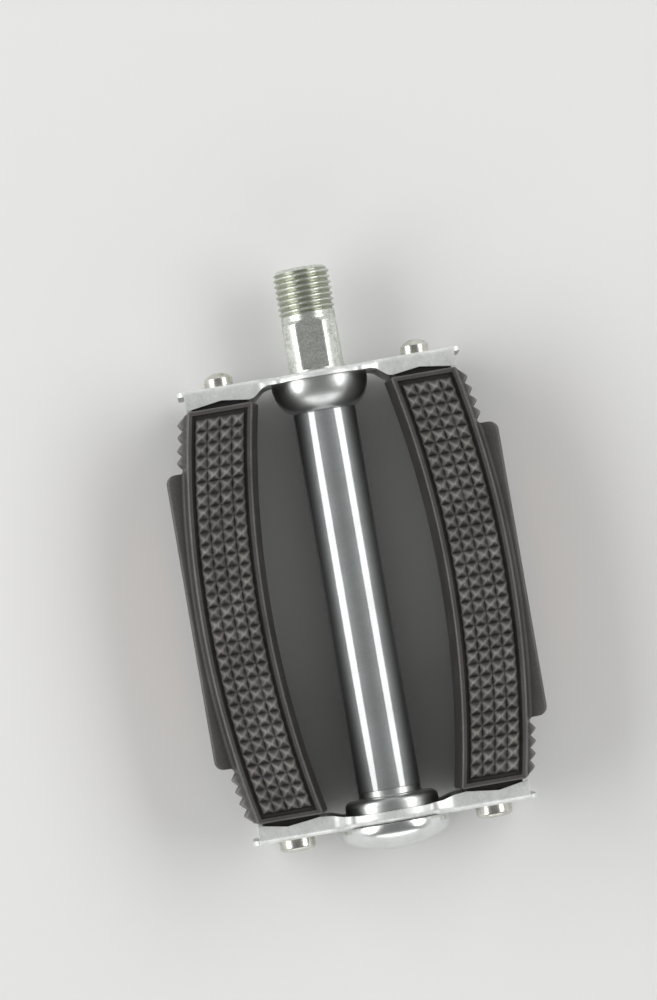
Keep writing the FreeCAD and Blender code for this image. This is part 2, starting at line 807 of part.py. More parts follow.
for name, side, rotation in (("front", "", None), ("rear", "-", FACING_REAR)):
    parts.append(make_block(name + "_block", rotation or FreeCAD.Rotation()))
    parts.append(make_bolt(name + "_bolt", side))
    parts.append(make_nut(name + "_nut", side, name + "_slot_turn"))
    parts.append(make_tile(name + "_reflector_shell", rotation, SHELL_BACK, "shell_thickness"))
    parts.append(make_tile(name + "_reflector_lens", rotation, LENS_BACK, "lens_thickness"))
doc.recompute()

for item in doc.Objects:
    if "Invalid" in item.State or "Error" in item.State:
        raise RuntimeError("failed: " + item.Label)
for part in parts:
    if part.Shape.isNull() or not part.Shape.isValid():
        raise RuntimeError("bad shape: " + part.Label)

os.makedirs("parts", exist_ok=True)
for part in parts:
    part.Shape.exportStep("parts/%s.step" % part.Label)
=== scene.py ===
import math
import bmesh
import bpy
import numpy as np
from mathutils import Euler, Matrix, Vector


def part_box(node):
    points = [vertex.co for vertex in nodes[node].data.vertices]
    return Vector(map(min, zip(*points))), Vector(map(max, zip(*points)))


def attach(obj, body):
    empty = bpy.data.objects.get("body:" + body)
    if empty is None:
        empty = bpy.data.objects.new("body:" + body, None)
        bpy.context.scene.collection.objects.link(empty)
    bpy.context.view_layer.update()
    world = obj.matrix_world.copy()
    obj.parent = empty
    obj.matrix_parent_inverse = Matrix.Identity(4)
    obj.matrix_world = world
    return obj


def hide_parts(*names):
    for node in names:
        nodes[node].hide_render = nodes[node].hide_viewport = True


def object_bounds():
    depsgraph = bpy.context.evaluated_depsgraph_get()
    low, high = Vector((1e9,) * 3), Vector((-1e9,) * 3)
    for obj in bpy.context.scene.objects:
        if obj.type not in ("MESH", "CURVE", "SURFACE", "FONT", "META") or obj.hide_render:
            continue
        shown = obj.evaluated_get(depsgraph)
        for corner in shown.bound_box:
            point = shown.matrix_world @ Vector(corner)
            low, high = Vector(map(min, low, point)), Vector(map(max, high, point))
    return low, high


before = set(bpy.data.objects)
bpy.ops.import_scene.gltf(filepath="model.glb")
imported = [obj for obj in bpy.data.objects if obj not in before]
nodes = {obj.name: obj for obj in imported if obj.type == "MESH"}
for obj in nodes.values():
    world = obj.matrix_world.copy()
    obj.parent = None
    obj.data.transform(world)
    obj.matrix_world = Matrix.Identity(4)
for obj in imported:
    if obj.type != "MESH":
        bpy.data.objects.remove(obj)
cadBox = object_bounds()
scene = bpy.context.scene
mm = 0.001  # meshes are worked out in millimetres and stored in metres
print("frame loaded:", len(nodes), "nodes")


def span(node, axis):
    low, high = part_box(node)
    return low[axis] / mm, high[axis] / mm


def middleOf(node, axis):
    return sum(span(node, axis)) / 2


def halfOf(node, axis):
    low, high = span(node, axis)
    return (high - low) / 2


# places taken from the frame
innerFace = span("inner_plate", 1)[1]
outerFace = span("outer_plate", 1)[0]
middleY = (innerFace + outerFace) / 2
tubeFoot, tubeTop = span("centre_tube", 1)
tubeRadius = span("centre_tube", 0)[1]
lowestZ = cadBox[0].z / mm
turnSteps = 160  # points round a large turned piece
tiny = 1e-6  # places closer than this are the same


# Shader node helpers

def put(tree, kind, x, y, values=None, **settings):
    made = tree.nodes.new("ShaderNode" + kind)
    made.location = (x, y)
    for key, setting in settings.items():
        setattr(made, key, setting)
    for key, number in (values or {}).items():
        made.inputs[key].default_value = number
    return made


def newGroup(name, inputs, outputs):
    tree = bpy.data.node_groups.new(name, "ShaderNodeTree")
    for label, number in inputs.items():
        socket = tree.interface.new_socket(label, in_out="INPUT", socket_type="NodeSocketFloat")
        socket.default_value = number
    for label in outputs:
        tree.interface.new_socket(label, in_out="OUTPUT", socket_type="NodeSocketFloat")
    start = tree.nodes.new("NodeGroupInput")
    start.location = (-900, 0)
    end = tree.nodes.new("NodeGroupOutput")
    end.location = (700, 0)
    return tree, start, end


def millimetres(tree, x, y):
    coords = put(tree, "TexCoord", x, y)
    scaled = put(tree, "VectorMath", x + 180, y, {"Scale": 1 / mm}, operation="SCALE")
    tree.links.new(coords.outputs["Object"], scaled.inputs[0])
    return scaled.outputs["Vector"]


def perSize(tree, socket, x, y):
    ratio = put(tree, "Math", x, y, {0: 1.0}, operation="DIVIDE")
    tree.links.new(socket, ratio.inputs[1])
    return ratio.outputs[0]


def mapped(tree, socket, low, high, x, y, fromLow=0.0, fromHigh=1.0):
    made = put(tree, "MapRange", x, y, {"From Min": fromLow, "From Max": fromHigh,
                                        "To Min": low, "To Max": high})
    tree.links.new(socket, made.inputs["Value"])
    return made.outputs["Result"]


noiseRange = (0.3, 0.7)  # where most of a noise texture's values lie


def spreadOut(tree, noise, x, y):
    return mapped(tree, noise.outputs[0], 0.0, 1.0, x, y, *noiseRange)


def splitPlace(tree):
    split = put(tree, "SeparateXYZ", -500, 300)
    tree.links.new(millimetres(tree, -900, 300), split.inputs[0])
    return split.outputs


# noise whose axes are each stretched by a size of their own, from (axis, place, size)
def stretchedNoise(tree, axes, x, detail, roughness):
    joined = put(tree, "CombineXYZ", x, 200)
    for row, (axis, place, size) in enumerate(axes):
        ratio = put(tree, "Math", x - 200, 250 - 120 * row, operation="DIVIDE")
        tree.links.new(place, ratio.inputs[0])
        tree.links.new(size, ratio.inputs[1])
        tree.links.new(ratio.outputs[0], joined.inputs[axis])
    noise = put(tree, "TexNoise", x + 200, 100, {"Scale": 1.0, "Detail": detail, "Roughness": roughness})
    tree.links.new(joined.outputs[0], noise.inputs["Vector"])
    return spreadOut(tree, noise, x + 400, 100)


# cloudy plating with fine specks in it, 0 where it is dull and 1 where it is bright
def makePlatingTone():
    sizes = {"Cloud Size": 4.0, "Speck Size": 0.3, "Speck Share": 0.4}
    tree, start, end = newGroup("platingTone", sizes, ["Tone"])
    coords = millimetres(tree, -900, 300)
    parts = []
    for label, detail, y in (("Cloud Size", 4.0, 200), ("Speck Size", 2.0, -100)):
        noise = put(tree, "TexNoise", -350, y, {"Detail": detail, "Roughness": 0.55})
        tree.links.new(coords, noise.inputs["Vector"])
        tree.links.new(perSize(tree, start.outputs[label], -550, y), noise.inputs["Scale"])
        parts.append(spreadOut(tree, noise, -150, y))
    blend = put(tree, "Mix", 150, 0, data_type="FLOAT")
    tree.links.new(start.outputs["Speck Share"], blend.inputs[0])
    tree.links.new(parts[0], blend.inputs[2])
    tree.links.new(parts[1], blend.inputs[3])
    tree.links.new(blend.outputs[0], end.inputs["Tone"])
    return tree


# fine lines left by drawing a tube or rolling a sheet, along Y
def makeDrawnLines():
    tree, start, end = newGroup("drawnLines", {"Line Width": 0.2, "Line Length": 30.0}, ["Lines"])
    place = splitPlace(tree)
    sizes = {"X": "Line Width", "Y": "Line Length", "Z": "Line Width"}
    axes = [(axis, place[axis], start.outputs[size]) for axis, size in sizes.items()]
    tree.links.new(stretchedNoise(tree, axes, -100, 3.0, 0.6), end.inputs["Lines"])
    return tree


# rings left by turning or spinning about the spindle axis
def makeTurnedRings():
    tree, start, end = newGroup("turnedRings", {"Ring Width": 0.2}, ["Lines"])
    place = splitPlace(tree)
    flat = put(tree, "CombineXYZ", -350, 400)
    tree.links.new(place["X"], flat.inputs["X"])
    tree.links.new(place["Z"], flat.inputs["Y"])
    reach = put(tree, "VectorMath", -200, 400, operation="LENGTH")
    tree.links.new(flat.outputs[0], reach.inputs[0])
    width = start.outputs["Ring Width"]
    axes = [("X", reach.outputs["Value"], width), ("Y", place["Y"], width)]
    tree.links.new(stretchedNoise(tree, axes, 0, 2.0, 0.5), end.inputs["Lines"])
    return tree


# even fine grain, for a bump
def makeFineGrain():
    tree, start, end = newGroup("fineGrain", {"Grain Size": 0.3}, ["Height"])
    noise = put(tree, "TexNoise", 0, 0, {"Detail": 3.0, "Roughness": 0.6})
    tree.links.new(millimetres(tree, -500, 200), noise.inputs["Vector"])
    tree.links.new(perSize(tree, start.outputs["Grain Size"], -300, -100), noise.inputs["Scale"])
    tree.links.new(noise.outputs[0], end.inputs["Height"])
    return tree


groupMakers = (makePlatingTone, makeDrawnLines, makeTurnedRings, makeFineGrain)
groups = {maker.__name__: maker() for maker in groupMakers}
print("node groups made:", len(groups))


def useGroup(tree, maker, x, y, values):
    return put(tree, "Group", x, y, values, node_tree=groups[maker.__name__])


def newMaterial(name, plain):
    material = bpy.data.materials.new(name)
    material.use_nodes = True
    tree = material.node_tree
    shader = tree.nodes["Principled BSDF"]
    for key, number in plain.items():
        shader.inputs[key].default_value = number
    return material, tree, shader


# lays one colour over another, which is a colour or a socket
def mixColours(tree, share, under, over, x, y):
    mix = put(tree, "Mix", x, y, data_type="RGBA")
    tree.links.new(share, mix.inputs[0])
    if isinstance(under, tuple):
        mix.inputs[6].default_value = (*under, 1)
    else:
        tree.links.new(under, mix.inputs[6])
    mix.inputs[7].default_value = (*over, 1)
    return mix.outputs[2]


# a number that the mesh stores at its vertices
def marked(tree, name, x, y):
    return put(tree, "Attribute", x, y, attribute_name=name, attribute_type="GEOMETRY").outputs["Fac"]


# layers of (height socket, strength, depth in mm), each laid over the one before
def addBump(tree, shader, layers):
    normal = None
    for index, (socket, strength, depth) in enumerate(layers):
        bump = put(tree, "Bump", -250, -350 - 180 * index, {"Strength": strength, "Distance": depth * mm})
        tree.links.new(socket, bump.inputs["Height"])
        if normal is not None:
            tree.links.new(normal, bump.inputs["Normal"])
        normal = bump.outputs["Normal"]
    tree.links.new(normal, shader.inputs["Normal"])


# the cloudy tone of a finish, with its roughness and colour
def addGround(tree, shader, finish):
    made = useGroup(tree, makePlatingTone, -900, 200, {
        "Cloud Size": finish["cloud"], "Speck Size": finish["speck"], "Speck Share": finish["share"]})
    tone = made.outputs["Tone"]
    tree.links.new(mapped(tree, tone, *finish["rough"], -500, 50), shader.inputs["Roughness"])
    return tone, mixColours(tree, tone, finish["dark"], finish["light"], -500, 300)


# Plated and polished metals. Colours are linear, sizes in millimetres.
noCoat = (0.0, 0.03, 1.5)  # weight, roughness and IOR of the bright skin over a duller metal
metalBump = dict(lines=0.6, tone=0.5)
metalFinishes = {
    "zincSheet": dict(dark=(0.60, 0.62, 0.59), light=(0.98, 0.99, 0.98), rough=(0.48, 0.32), metallic=0.55,
                      cloud=3.4, speck=0.5, share=0.3, lines="drawn", width=0.5, length=6.0, depth=0.016),
    "zincSpindle": dict(dark=(0.36, 0.39, 0.33), light=(0.95, 0.97, 0.93), rough=(0.40, 0.22), metallic=0.85,
                        cloud=1.6, speck=0.4, share=0.6, lines="turned", width=0.16, depth=0.008,
                        # groove: colour of the painted shade laid at the bottom of the thread grooves
                        groove=(0.42, 0.44, 0.35)),
    "zincFastener": dict(dark=(0.46, 0.45, 0.38), light=(0.86, 0.86, 0.82), rough=(0.32, 0.20), metallic=1.0,
                         cloud=1.6, speck=0.25, share=0.35, lines="turned", width=0.2, depth=0.006),
    "zincCap": dict(dark=(0.66, 0.68, 0.67), light=(0.88, 0.89, 0.88), rough=(0.28, 0.18), metallic=1.0,
                    cloud=4.0, speck=0.4, share=0.35, lines="turned", width=0.4, depth=0.008),
    "tubeChrome": dict(dark=(0.27, 0.28, 0.28), light=(0.37, 0.39, 0.39), rough=(0.60, 0.48), metallic=1.0,
                       coat=(1.0, 0.05, 2.6),
                       cloud=9.0, speck=0.4, share=0.25, lines="drawn", width=0.45, length=40.0, depth=0.004),
    "cupChrome": dict(dark=(0.50, 0.52, 0.51), light=(0.64, 0.66, 0.64), rough=(0.42, 0.32), metallic=1.0,
                      coat=(0.6, 0.12, 2.2),
                      cloud=3.0, speck=0.3, share=0.35, lines="turned", width=0.35, depth=0.006),
    "bearingSteel": dict(dark=(0.60, 0.60, 0.61), light=(0.74, 0.74, 0.75), rough=(0.16, 0.09), metallic=1.0,
                         cloud=2.0, speck=0.2, share=0.3, lines="turned", width=0.2, depth=0.003),
}


def makeMetal(name, finish):
    weight, coatRough, coatIor = finish.get("coat", noCoat)
    material, tree, shader = newMaterial(name, {"Metallic": finish["metallic"], "Coat Weight": weight,
                                                "Coat Roughness": coatRough, "Coat IOR": coatIor})
    tone, colour = addGround(tree, shader, finish)
    if finish["lines"] == "drawn":
        lines = useGroup(tree, makeDrawnLines, -900, -300, {
            "Line Width": finish["width"], "Line Length": finish["length"]})
    else:
        lines = useGroup(tree, makeTurnedRings, -900, -300, {"Ring Width": finish["width"]})
    # painted shade: the groove mark darkens the colour towards the groove colour in the thread grooves
    if "groove" in finish:
        colour = mixColours(tree, marked(tree, "groove", -500, 550), colour, finish["groove"], -250, 400)
    tree.links.new(colour, shader.inputs["Base Color"])
    addBump(tree, shader, [(lines.outputs["Lines"], metalBump["lines"], finish["depth"]),
                           (tone, metalBump["tone"], finish["depth"])])
    return material


# Moulded rubber: brownish black, paler where its edges and stud tips are rubbed and where painted highlights
# lie on the stud ridges; stud faces turned from the lamps keep painted shade
rubberFinish = dict(dark=(0.014, 0.0125, 0.012), light=(0.038, 0.035, 0.033), wornAndLit=(0.235, 0.220, 0.208),
                    rough=(0.50, 0.36), cloud=9.0, speck=0.45, share=0.45, broken=(0.55, 1.1), grain=0.35,
                    grainBump=(0.35, 0.05), toneBump=(0.2, 0.04))


def makeRubber():
    finish = rubberFinish
    material, tree, shader = newMaterial("treadRubber", {"Specular IOR Level": 0.42, "IOR": 1.5})
    tone, colour = addGround(tree, shader, finish)
    grain = useGroup(tree, makeFineGrain, -900, -300, {"Grain Size": finish["grain"]})
    broken = put(tree, "Math", -700, 600, operation="MULTIPLY")
    tree.links.new(marked(tree, "wearAndLight", -900, 600), broken.inputs[0])
    tree.links.new(mapped(tree, tone, *finish["broken"], -900, 450), broken.inputs[1])
    colour = mixColours(tree, broken.outputs[0], colour, finish["wornAndLit"], -250, 400)
    tree.links.new(colour, shader.inputs["Base Color"])
    addBump(tree, shader, [(grain.outputs["Height"], *finish["grainBump"]), (tone, *finish["toneBump"])])
    return material


# Reflector: clear amber over a plain moulded back
plasticFinishes = {
    "amberLens": dict(dark=(0.99, 0.50, 0.03), light=(1.0, 0.60, 0.06), rough=(0.03, 0.07),
                      cloud=7.0, speck=0.5, share=0.2, grain=1.2, bump=(0.1, 0.02),
                      plain={"Transmission Weight": 0.92, "IOR": 1.49, "Metallic": 0.0}),
    "shellPlastic": dict(dark=(0.80, 0.30, 0.04), light=(0.92, 0.42, 0.08), rough=(0.46, 0.36),
                         cloud=4.0, speck=0.3, share=0.4, grain=0.3, bump=(0.3, 0.03), plain={}),
}


def makePlastic(name, finish):
    material, tree, shader = newMaterial(name, finish["plain"])
    tone, colour = addGround(tree, shader, finish)
    tree.links.new(colour, shader.inputs["Base Color"])
    grain = useGroup(tree, makeFineGrain, -900, -300, {"Grain Size": finish["grain"]})
    addBump(tree, shader, [(grain.outputs["Height"], *finish["bump"])])
    return material


finishes = {name: makeMetal(name, finish) for name, finish in metalFinishes.items()}
finishes["treadRubber"] = makeRubber()
for name, finish in plasticFinishes.items():
    finishes[name] = makePlastic(name, finish)
print("materials made:", len(finishes))


# Mesh helpers

def plainMesh(name, verts, faces):
    mesh = bpy.data.meshes.new(name)
    mesh.from_pydata([(x * mm, y * mm, z * mm) for x, y, z in verts], [], faces)
    return mesh


# a closed mesh with its faces turned outwards
def solidMesh(name, verts, faces):
    mesh = plainMesh(name, verts, faces)
    turned = bmesh.new()
    turned.from_mesh(mesh)
    bmesh.ops.recalc_face_normals(turned, faces=turned.faces)
    turned.to_mesh(mesh)
    turned.free()
    return mesh


def addPiece(name, mesh, material, body, node):
    piece = bpy.data.objects.new(name, mesh)
    scene.collection.objects.link(piece)
    mesh.materials.append(finishes[material])
    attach(piece, body)
    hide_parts(node)
    return piece


def newPiece(name, verts, faces, material, body, node, sharp=40):
    piece = addPiece(name, solidMesh(name, verts, faces), material, body, node)
    smoothen(piece, sharp)
    return piece


def smoothen(piece, sharp):
    mesh = piece.data
    mesh.polygons.foreach_set("use_smooth", [True] * len(mesh.polygons))
    mesh.set_sharp_from_angle(angle=math.radians(sharp))


# stores one number per vertex, for the piece's material
def mark(piece, name, numbers):
    layer = piece.data.attributes.new(name, "FLOAT", "POINT")
    layer.data.foreach_set("value", np.asarray(numbers, dtype=np.float32))


# corners are (a, b) or (a, b, radius); a radius rounds that corner with an arc
def roundCorners(corners, closed=True, steps=5):
    points = []
    count = len(corners)
    most = 0.49  # the share of a side that an arc may take up
    for index, corner in enumerate(corners):
        here = Vector(corner[:2])
        if len(corner) == 2 or (not closed and index in (0, count - 1)):
            points.append(tuple(here))
            continue
        before = Vector(corners[index - 1][:2]) - here
        after = Vector(corners[(index + 1) % count][:2]) - here
        half = before.angle(after) / 2
        reach = min(corner[2] / math.tan(half), most * before.length, most * after.length)
        radius = reach * math.tan(half)
        inward = (before.normalized() + after.normalized()).normalized()
        centre = here + inward * (radius / math.sin(half))
        begin = here + before.normalized() * reach - centre
        finish = here + after.normalized() * reach - centre
        turn = begin.angle_signed(finish)
        for step in range(steps + 1):
            spoke = Matrix.Rotation(-turn * step / steps, 2) @ begin
            points.append(tuple(centre + spoke))
    return points


# points on an arc, between angles in degrees and with both ends
def arc(centre, radius, first, last, steps):
    angles = np.radians(np.linspace(first, last, steps + 1))
    return [(centre[0] + radius * math.cos(a), centre[1] + radius * math.sin(a)) for a in angles]


# turns an outline of (radius, y) about the spindle axis, moved sideways by x
def lathe(outline, around, closed, x=0.0):
    verts = []
    faces = []
    rings = []
    angles = np.linspace(0, 2 * math.pi, around, endpoint=False)
    for radius, y in outline:
        if radius < tiny:
            rings.append([len(verts)])
            verts.append((x, y, 0.0))
            continue
        rings.append(list(range(len(verts), len(verts) + around)))
        verts += [(x + radius * math.sin(a), y, radius * math.cos(a)) for a in angles]
    followers = rings[1:] + ([rings[0]] if closed else [])
    for ring, follower in zip(rings, followers):
        for step in range(around):
            after = (step + 1) % around
            if len(ring) == 1:
                faces.append((ring[0], follower[step], follower[after]))
            elif len(follower) == 1:
                faces.append((ring[step], follower[0], ring[after]))
            else:
                faces.append((ring[step], follower[step], follower[after], ring[after]))
    return verts, faces


# cuts a closed shape of (verts, faces) out of a piece
def carve(piece, verts, faces, sharp=40):
    cutter = bpy.data.objects.new("cutter", solidMesh("cutter", verts, faces))
    scene.collection.objects.link(cutter)
    cut = piece.modifiers.new("cut", "BOOLEAN")
    cut.object = cutter
    cut.solver = "EXACT"
    graph = bpy.context.evaluated_depsgraph_get()
    carved = bpy.data.meshes.new_from_object(piece.evaluated_get(graph))
    piece.modifiers.clear()
    piece.data = carved
    bpy.data.objects.remove(cutter)
    smoothen(piece, sharp)


# an outline of (x, z) carried from y0 to y1, where its size is shrunk
def prism(outline, y0, y1, x=0.0, shrink=1.0):
    count = len(outline)
    verts = [(x + a, y0, b) for a, b in outline]
    verts += [(x + a * shrink, y1, b * shrink) for a, b in outline]
    faces = [tuple(range(count)), tuple(range(2 * count - 1, count - 1, -1))]
    faces += [(i, (i + 1) % count, (i + 1) % count + count, i + count) for i in range(count)]
    return verts, faces


# Spindle: rolled crank thread, short shank, four wrench flats, collar and hidden shaft
spindleShape = dict(threadRadius=6.35, pitch=1.27, threadDepth=0.66, chamfer=1.1, runOut=1.2, perPitch=14,
                    crestShare=0.14, flankShare=0.72, shankRadius=6.05, shankLength=2.2,
                    shoulder=0.75, shoulderLead=0.5, shoulderSteps=9, edgeGaps=(0.05, 0.02),
                    flats=12.0, flatsLength=10.6, flatsTurn=-3.0, flatsSteps=12, perFlat=14, perCorner=12,
                    collarRadius=6.7, collarEnd=2.5, collarEdge=0.4, shaftRadius=4.5, shaftEnd=6.0,
                    tailRadius=4.0, tailEdge=0.4)


def makeSpindle():
    s = spindleShape
    tail, tip = span("spindle", 1)
    edge = math.degrees(math.acos(s["flats"] / 2 / s["collarRadius"]))  # half the turn that one flat takes up
    angles = []
    for flat in range(4):
        middle = 90 * flat + s["flatsTurn"]
        angles += list(middle + np.linspace(-edge, edge, s["perFlat"] + 1)[:-1])
        angles += list(middle + np.linspace(edge, 90 - edge, s["perCorner"] + 1)[:-1])
    angles = np.radians(np.array(angles))
    flatsTop = -s["shankLength"]
    shoulderTop = flatsTop + s["shoulderLead"]
    shoulderFoot = flatsTop - s["shoulder"]
    flatsFoot = flatsTop - s["flatsLength"]
    collarFoot = innerFace - s["collarEnd"]
    shaftEnd = outerFace + s["shaftEnd"]
    above, below = s["edgeGaps"]  # lines close to the ends of the flats keep their edges crisp
    heights = list(np.arange(tip, -s["runOut"], -s["pitch"] / s["perPitch"]))
    heights += [-s["runOut"], shoulderTop + above]
    heights += list(np.linspace(shoulderTop, shoulderFoot, s["shoulderSteps"]))
    heights += list(np.linspace(shoulderFoot, flatsFoot, s["flatsSteps"])[1:])
    heights += [flatsFoot - below, flatsFoot - s["collarEdge"], innerFace, collarFoot]
    verts = []
    # painted shade: the thread grooves are marked 1 at their bottom, where their colour is darkened
    grooveShade = []  # 1 at the bottom of a thread groove
    for y in heights:
        hollow = np.zeros(len(angles))
        if y >= -s["runOut"]:
            phase = (y / s["pitch"] - angles / (2 * math.pi)) % 1.0
            slope = np.clip((np.abs(phase - 0.5) * 2 - s["crestShare"]) / s["flankShare"], 0, 1)
            fade = min(1.0, 1 + y / s["runOut"])  # the thread runs out into the shank
            hollow = slope * fade * min(1.0, (tip - y) / s["chamfer"])
            crest = s["threadRadius"] if y >= 0 else s["shankRadius"]
            root = s["shankRadius"] + (s["threadRadius"] - s["threadDepth"] - s["shankRadius"]) * fade
            radius = np.minimum(crest, s["threadRadius"] - (s["threadRadius"] - root) * slope)
            radius = np.minimum(radius, s["threadRadius"] - s["chamfer"] + (tip - y))
        else:
            along = np.clip((shoulderTop - y) / s["shoulder"], 0, 1)
            turned = s["shankRadius"] + (s["collarRadius"] - s["shankRadius"]) * along
            radius = np.full(len(angles), turned)
            if flatsFoot <= y <= shoulderTop:
                off = (angles - math.radians(s["flatsTurn"]) + math.pi / 4) % (math.pi / 2) - math.pi / 4
                radius = np.minimum(radius, s["flats"] / 2 / np.cos(off))
        verts += [(r * math.sin(a), y, r * math.cos(a)) for r, a in zip(radius, angles)]
        grooveShade += list(hollow)
    around = len(angles)
    shaft = [(s["shaftRadius"], collarFoot), (s["shaftRadius"], shaftEnd), (s["tailRadius"], shaftEnd),
             (s["tailRadius"], tail + s["tailEdge"]), (s["tailRadius"] - s["tailEdge"], tail)]
    for radius, y in shaft:
        verts += [(radius * math.sin(a), y, radius * math.cos(a)) for a in angles]
    rows = len(heights) + len(shaft)
    faces = []
    for row in range(rows - 1):
        for column in range(around):
            after = (column + 1) % around
            faces.append((row * around + column, (row + 1) * around + column,
                          (row + 1) * around + after, row * around + after))
    faces.append(tuple(range(around)))
    faces.append(tuple(range(rows * around - 1, (rows - 1) * around - 1, -1)))
    piece = newPiece("crankSpindle", verts, faces, "zincSpindle", "spindle_set", "spindle",
                     sharp=28)
    mark(piece, "groove", grooveShade + [0.0] * (len(shaft) * around))


# Centre tube, bearing cups and dust cap
tubeShape = dict(wall=1.2, edge=0.15, longSide=10.0, rings=12)
cupShape = dict(innerLip=1.2, outerLip=1.6, innerRound=0.5, outerRound=1.3, spigot=4.0, pressGap=0.02,
                bore=5.0, ballGap=0.06, curveSteps=14, raceSteps=8,
                outerShoulder=(1.4, 0.3, 0.25, 2.7))  # drop, inside round, slope and outside round
capShape = dict(edgeRadius=3.4, crownRadius=26.0, wall=0.8, footRound=0.35, footShare=0.3,
                edgeSteps=14, crownSteps=10)


def makeTube():
    t = tubeShape
    bore = tubeRadius - t["wall"]
    outline = roundCorners([(bore, tubeFoot), (tubeRadius, tubeFoot, t["edge"]),
                            (tubeRadius, tubeTop, t["edge"]), (bore, tubeTop)])
    straight = []
    for (radius, y), follower in zip(outline, outline[1:] + outline[:1]):
        straight.append((radius, y))
        rise = follower[1] - y
        if abs(rise) > t["longSide"]:  # a few rings along the length keep the faces well shaped
            straight += [(radius, y + rise * part / t["rings"]) for part in range(1, t["rings"])]
    verts, faces = lathe(straight, turnSteps, closed=True)
    newPiece("centreTube", verts, faces, "tubeChrome", "cage", "centre_tube")


def makeCup(name, node, balls, rim, junction, lip, rimRound, shoulder=None):
    c = cupShape
    away = 1 if junction < rim else -1  # which way the rim lies from the tube
    radius = span(node, 0)[1]
    ball = halfOf(balls, 1)
    race = ball + c["ballGap"]
    circle = span(balls, 0)[1] - ball
    ballY = middleOf(balls, 1)
    lipY = rim - away * lip
    drop = abs(rim - junction) - lip
    side = radius - tubeRadius
    bulge = (side**2 + drop**2) / (2 * side)
    sweep = math.degrees(math.asin(drop / bulge))
    curve = arc((radius - bulge, lipY), bulge, -away * sweep, 0, c["curveSteps"])
    if shoulder is not None:
        fall, insideRound, slope, outsideRound = shoulder
        edge = junction + away * fall
        curve = roundCorners([(tubeRadius, junction), (tubeRadius, edge, insideRound),
                              (radius, edge + away * slope, outsideRound), (radius, lipY)],
                             closed=False, steps=9)
    rimCorner = roundCorners([(radius, lipY), (radius, rim, rimRound), (circle + race, rim)],
                             closed=False, steps=6)
    seat = arc((circle, ballY), race, 0, -away * 90, c["raceSteps"])
    foot = junction - away * c["spigot"]
    spigot = tubeRadius - tubeShape["wall"] - c["pressGap"]
    inside = [(c["bore"], seat[-1][1]), (c["bore"], foot), (spigot, foot), (spigot, junction)]
    verts, faces = lathe(curve + rimCorner[1:] + seat + inside, turnSteps, closed=True)
    newPiece(name, verts, faces, "cupChrome", "cage", node)


def makeDustCap():
    c = capShape
    foot, mouth = span("dust_cap", 1)
    radius = span("dust_cap", 0)[1]
    crownY = foot + c["crownRadius"]
    spread = radius - c["edgeRadius"]
    rise = math.sqrt((c["crownRadius"] - c["edgeRadius"])**2 - spread**2)
    tilt = math.degrees(math.atan2(spread, rise))  # where the crown runs into the rounded edge

    def shell(inset):
        edge = arc((spread, crownY - rise), c["edgeRadius"] - inset, 0, tilt - 90, c["edgeSteps"])
        crown = arc((0.0, crownY), c["crownRadius"] - inset, tilt - 90, -90, c["crownSteps"])
        return edge + crown[1:-1] + [(0.0, foot + inset)]

    lip = c["footRound"]
    cut = lip * c["footShare"]
    outside = [(radius - lip, mouth), (radius - cut, mouth - cut), (radius, mouth - lip)] + shell(0.0)
    inside = [(radius - c["wall"], mouth)] + shell(c["wall"])
    verts, faces = lathe(outside, turnSteps, closed=False)
    inner, innerFaces = lathe(inside, turnSteps, closed=False)
    shift = len(verts)
    verts += inner
    faces += [tuple(i + shift for i in face) for face in innerFaces]
    for i in range(turnSteps):  # the mouth's flat ring
        after = (i + 1) % turnSteps
        faces.append((i, after, shift + after, shift + i))
    newPiece("dustCap", verts, faces, "zincCap", "cage", "dust_cap")


# Cage plates: a flat web with flanges folded along its long edges
plateShape = dict(thickness=1.0, bend=1.4, bendSteps=6, discEnd=8.0, wingStart=13.6, wing=11.3,
                  stationGap=0.7, tab=9.4, tabCorner=1.5, cornerSteps=5, boltHole=2.15, holeSteps=24,
                  shieldGap=0.4, outerHole=8.745, hubSteps=72, edge=0.16, edgeAngle=50,
                  # the flange's depth at places out from the middle
                  innerDepths=((0.0, 1.5), (9.0, 1.5), (11.4, 1.6), (12.6, 2.0), (14.0, 3.1), (14.9, 3.8),
                               (16.0, 4.0), (22.0, 3.2), (30.0, 4.4)),
                  outerDepths=((0.0, 2.6), (8.0, 2.6), (11.0, 3.0), (13.4, 3.7), (16.2, 4.0), (23.4, 3.1),
                               (30.0, 4.3)))


# height of a plate's edge over its middle: round the disc, then a smooth S to the wing
def plateEdge(x):
    p = plateShape
    disc = span("outer_plate", 2)[1]
    start, finish = p["discEnd"], p["wingStart"]
    reach = abs(x)
    if reach <= start:
        return math.sqrt(disc**2 - reach**2)
    if reach >= finish:
        return p["wing"]
    t = (reach - start) / (finish - start)
    high = math.sqrt(disc**2 - start**2)
    slope = -start / high * (finish - start)
    share = 3 * t**2 - 2 * t**3
    return (1 - share) * high + (t**3 - 2 * t**2 + t) * slope + share * p["wing"]


# stations across a wing, closer where the flange's edge turns
def wingStations(places):
    stations = []
    for low, high in zip(places, places[1:]):
        count = max(2, int((high - low) / plateShape["stationGap"]))
        stations += list(np.linspace(low, high, count + 1)[:-1])
    return stations + [places[-1]]


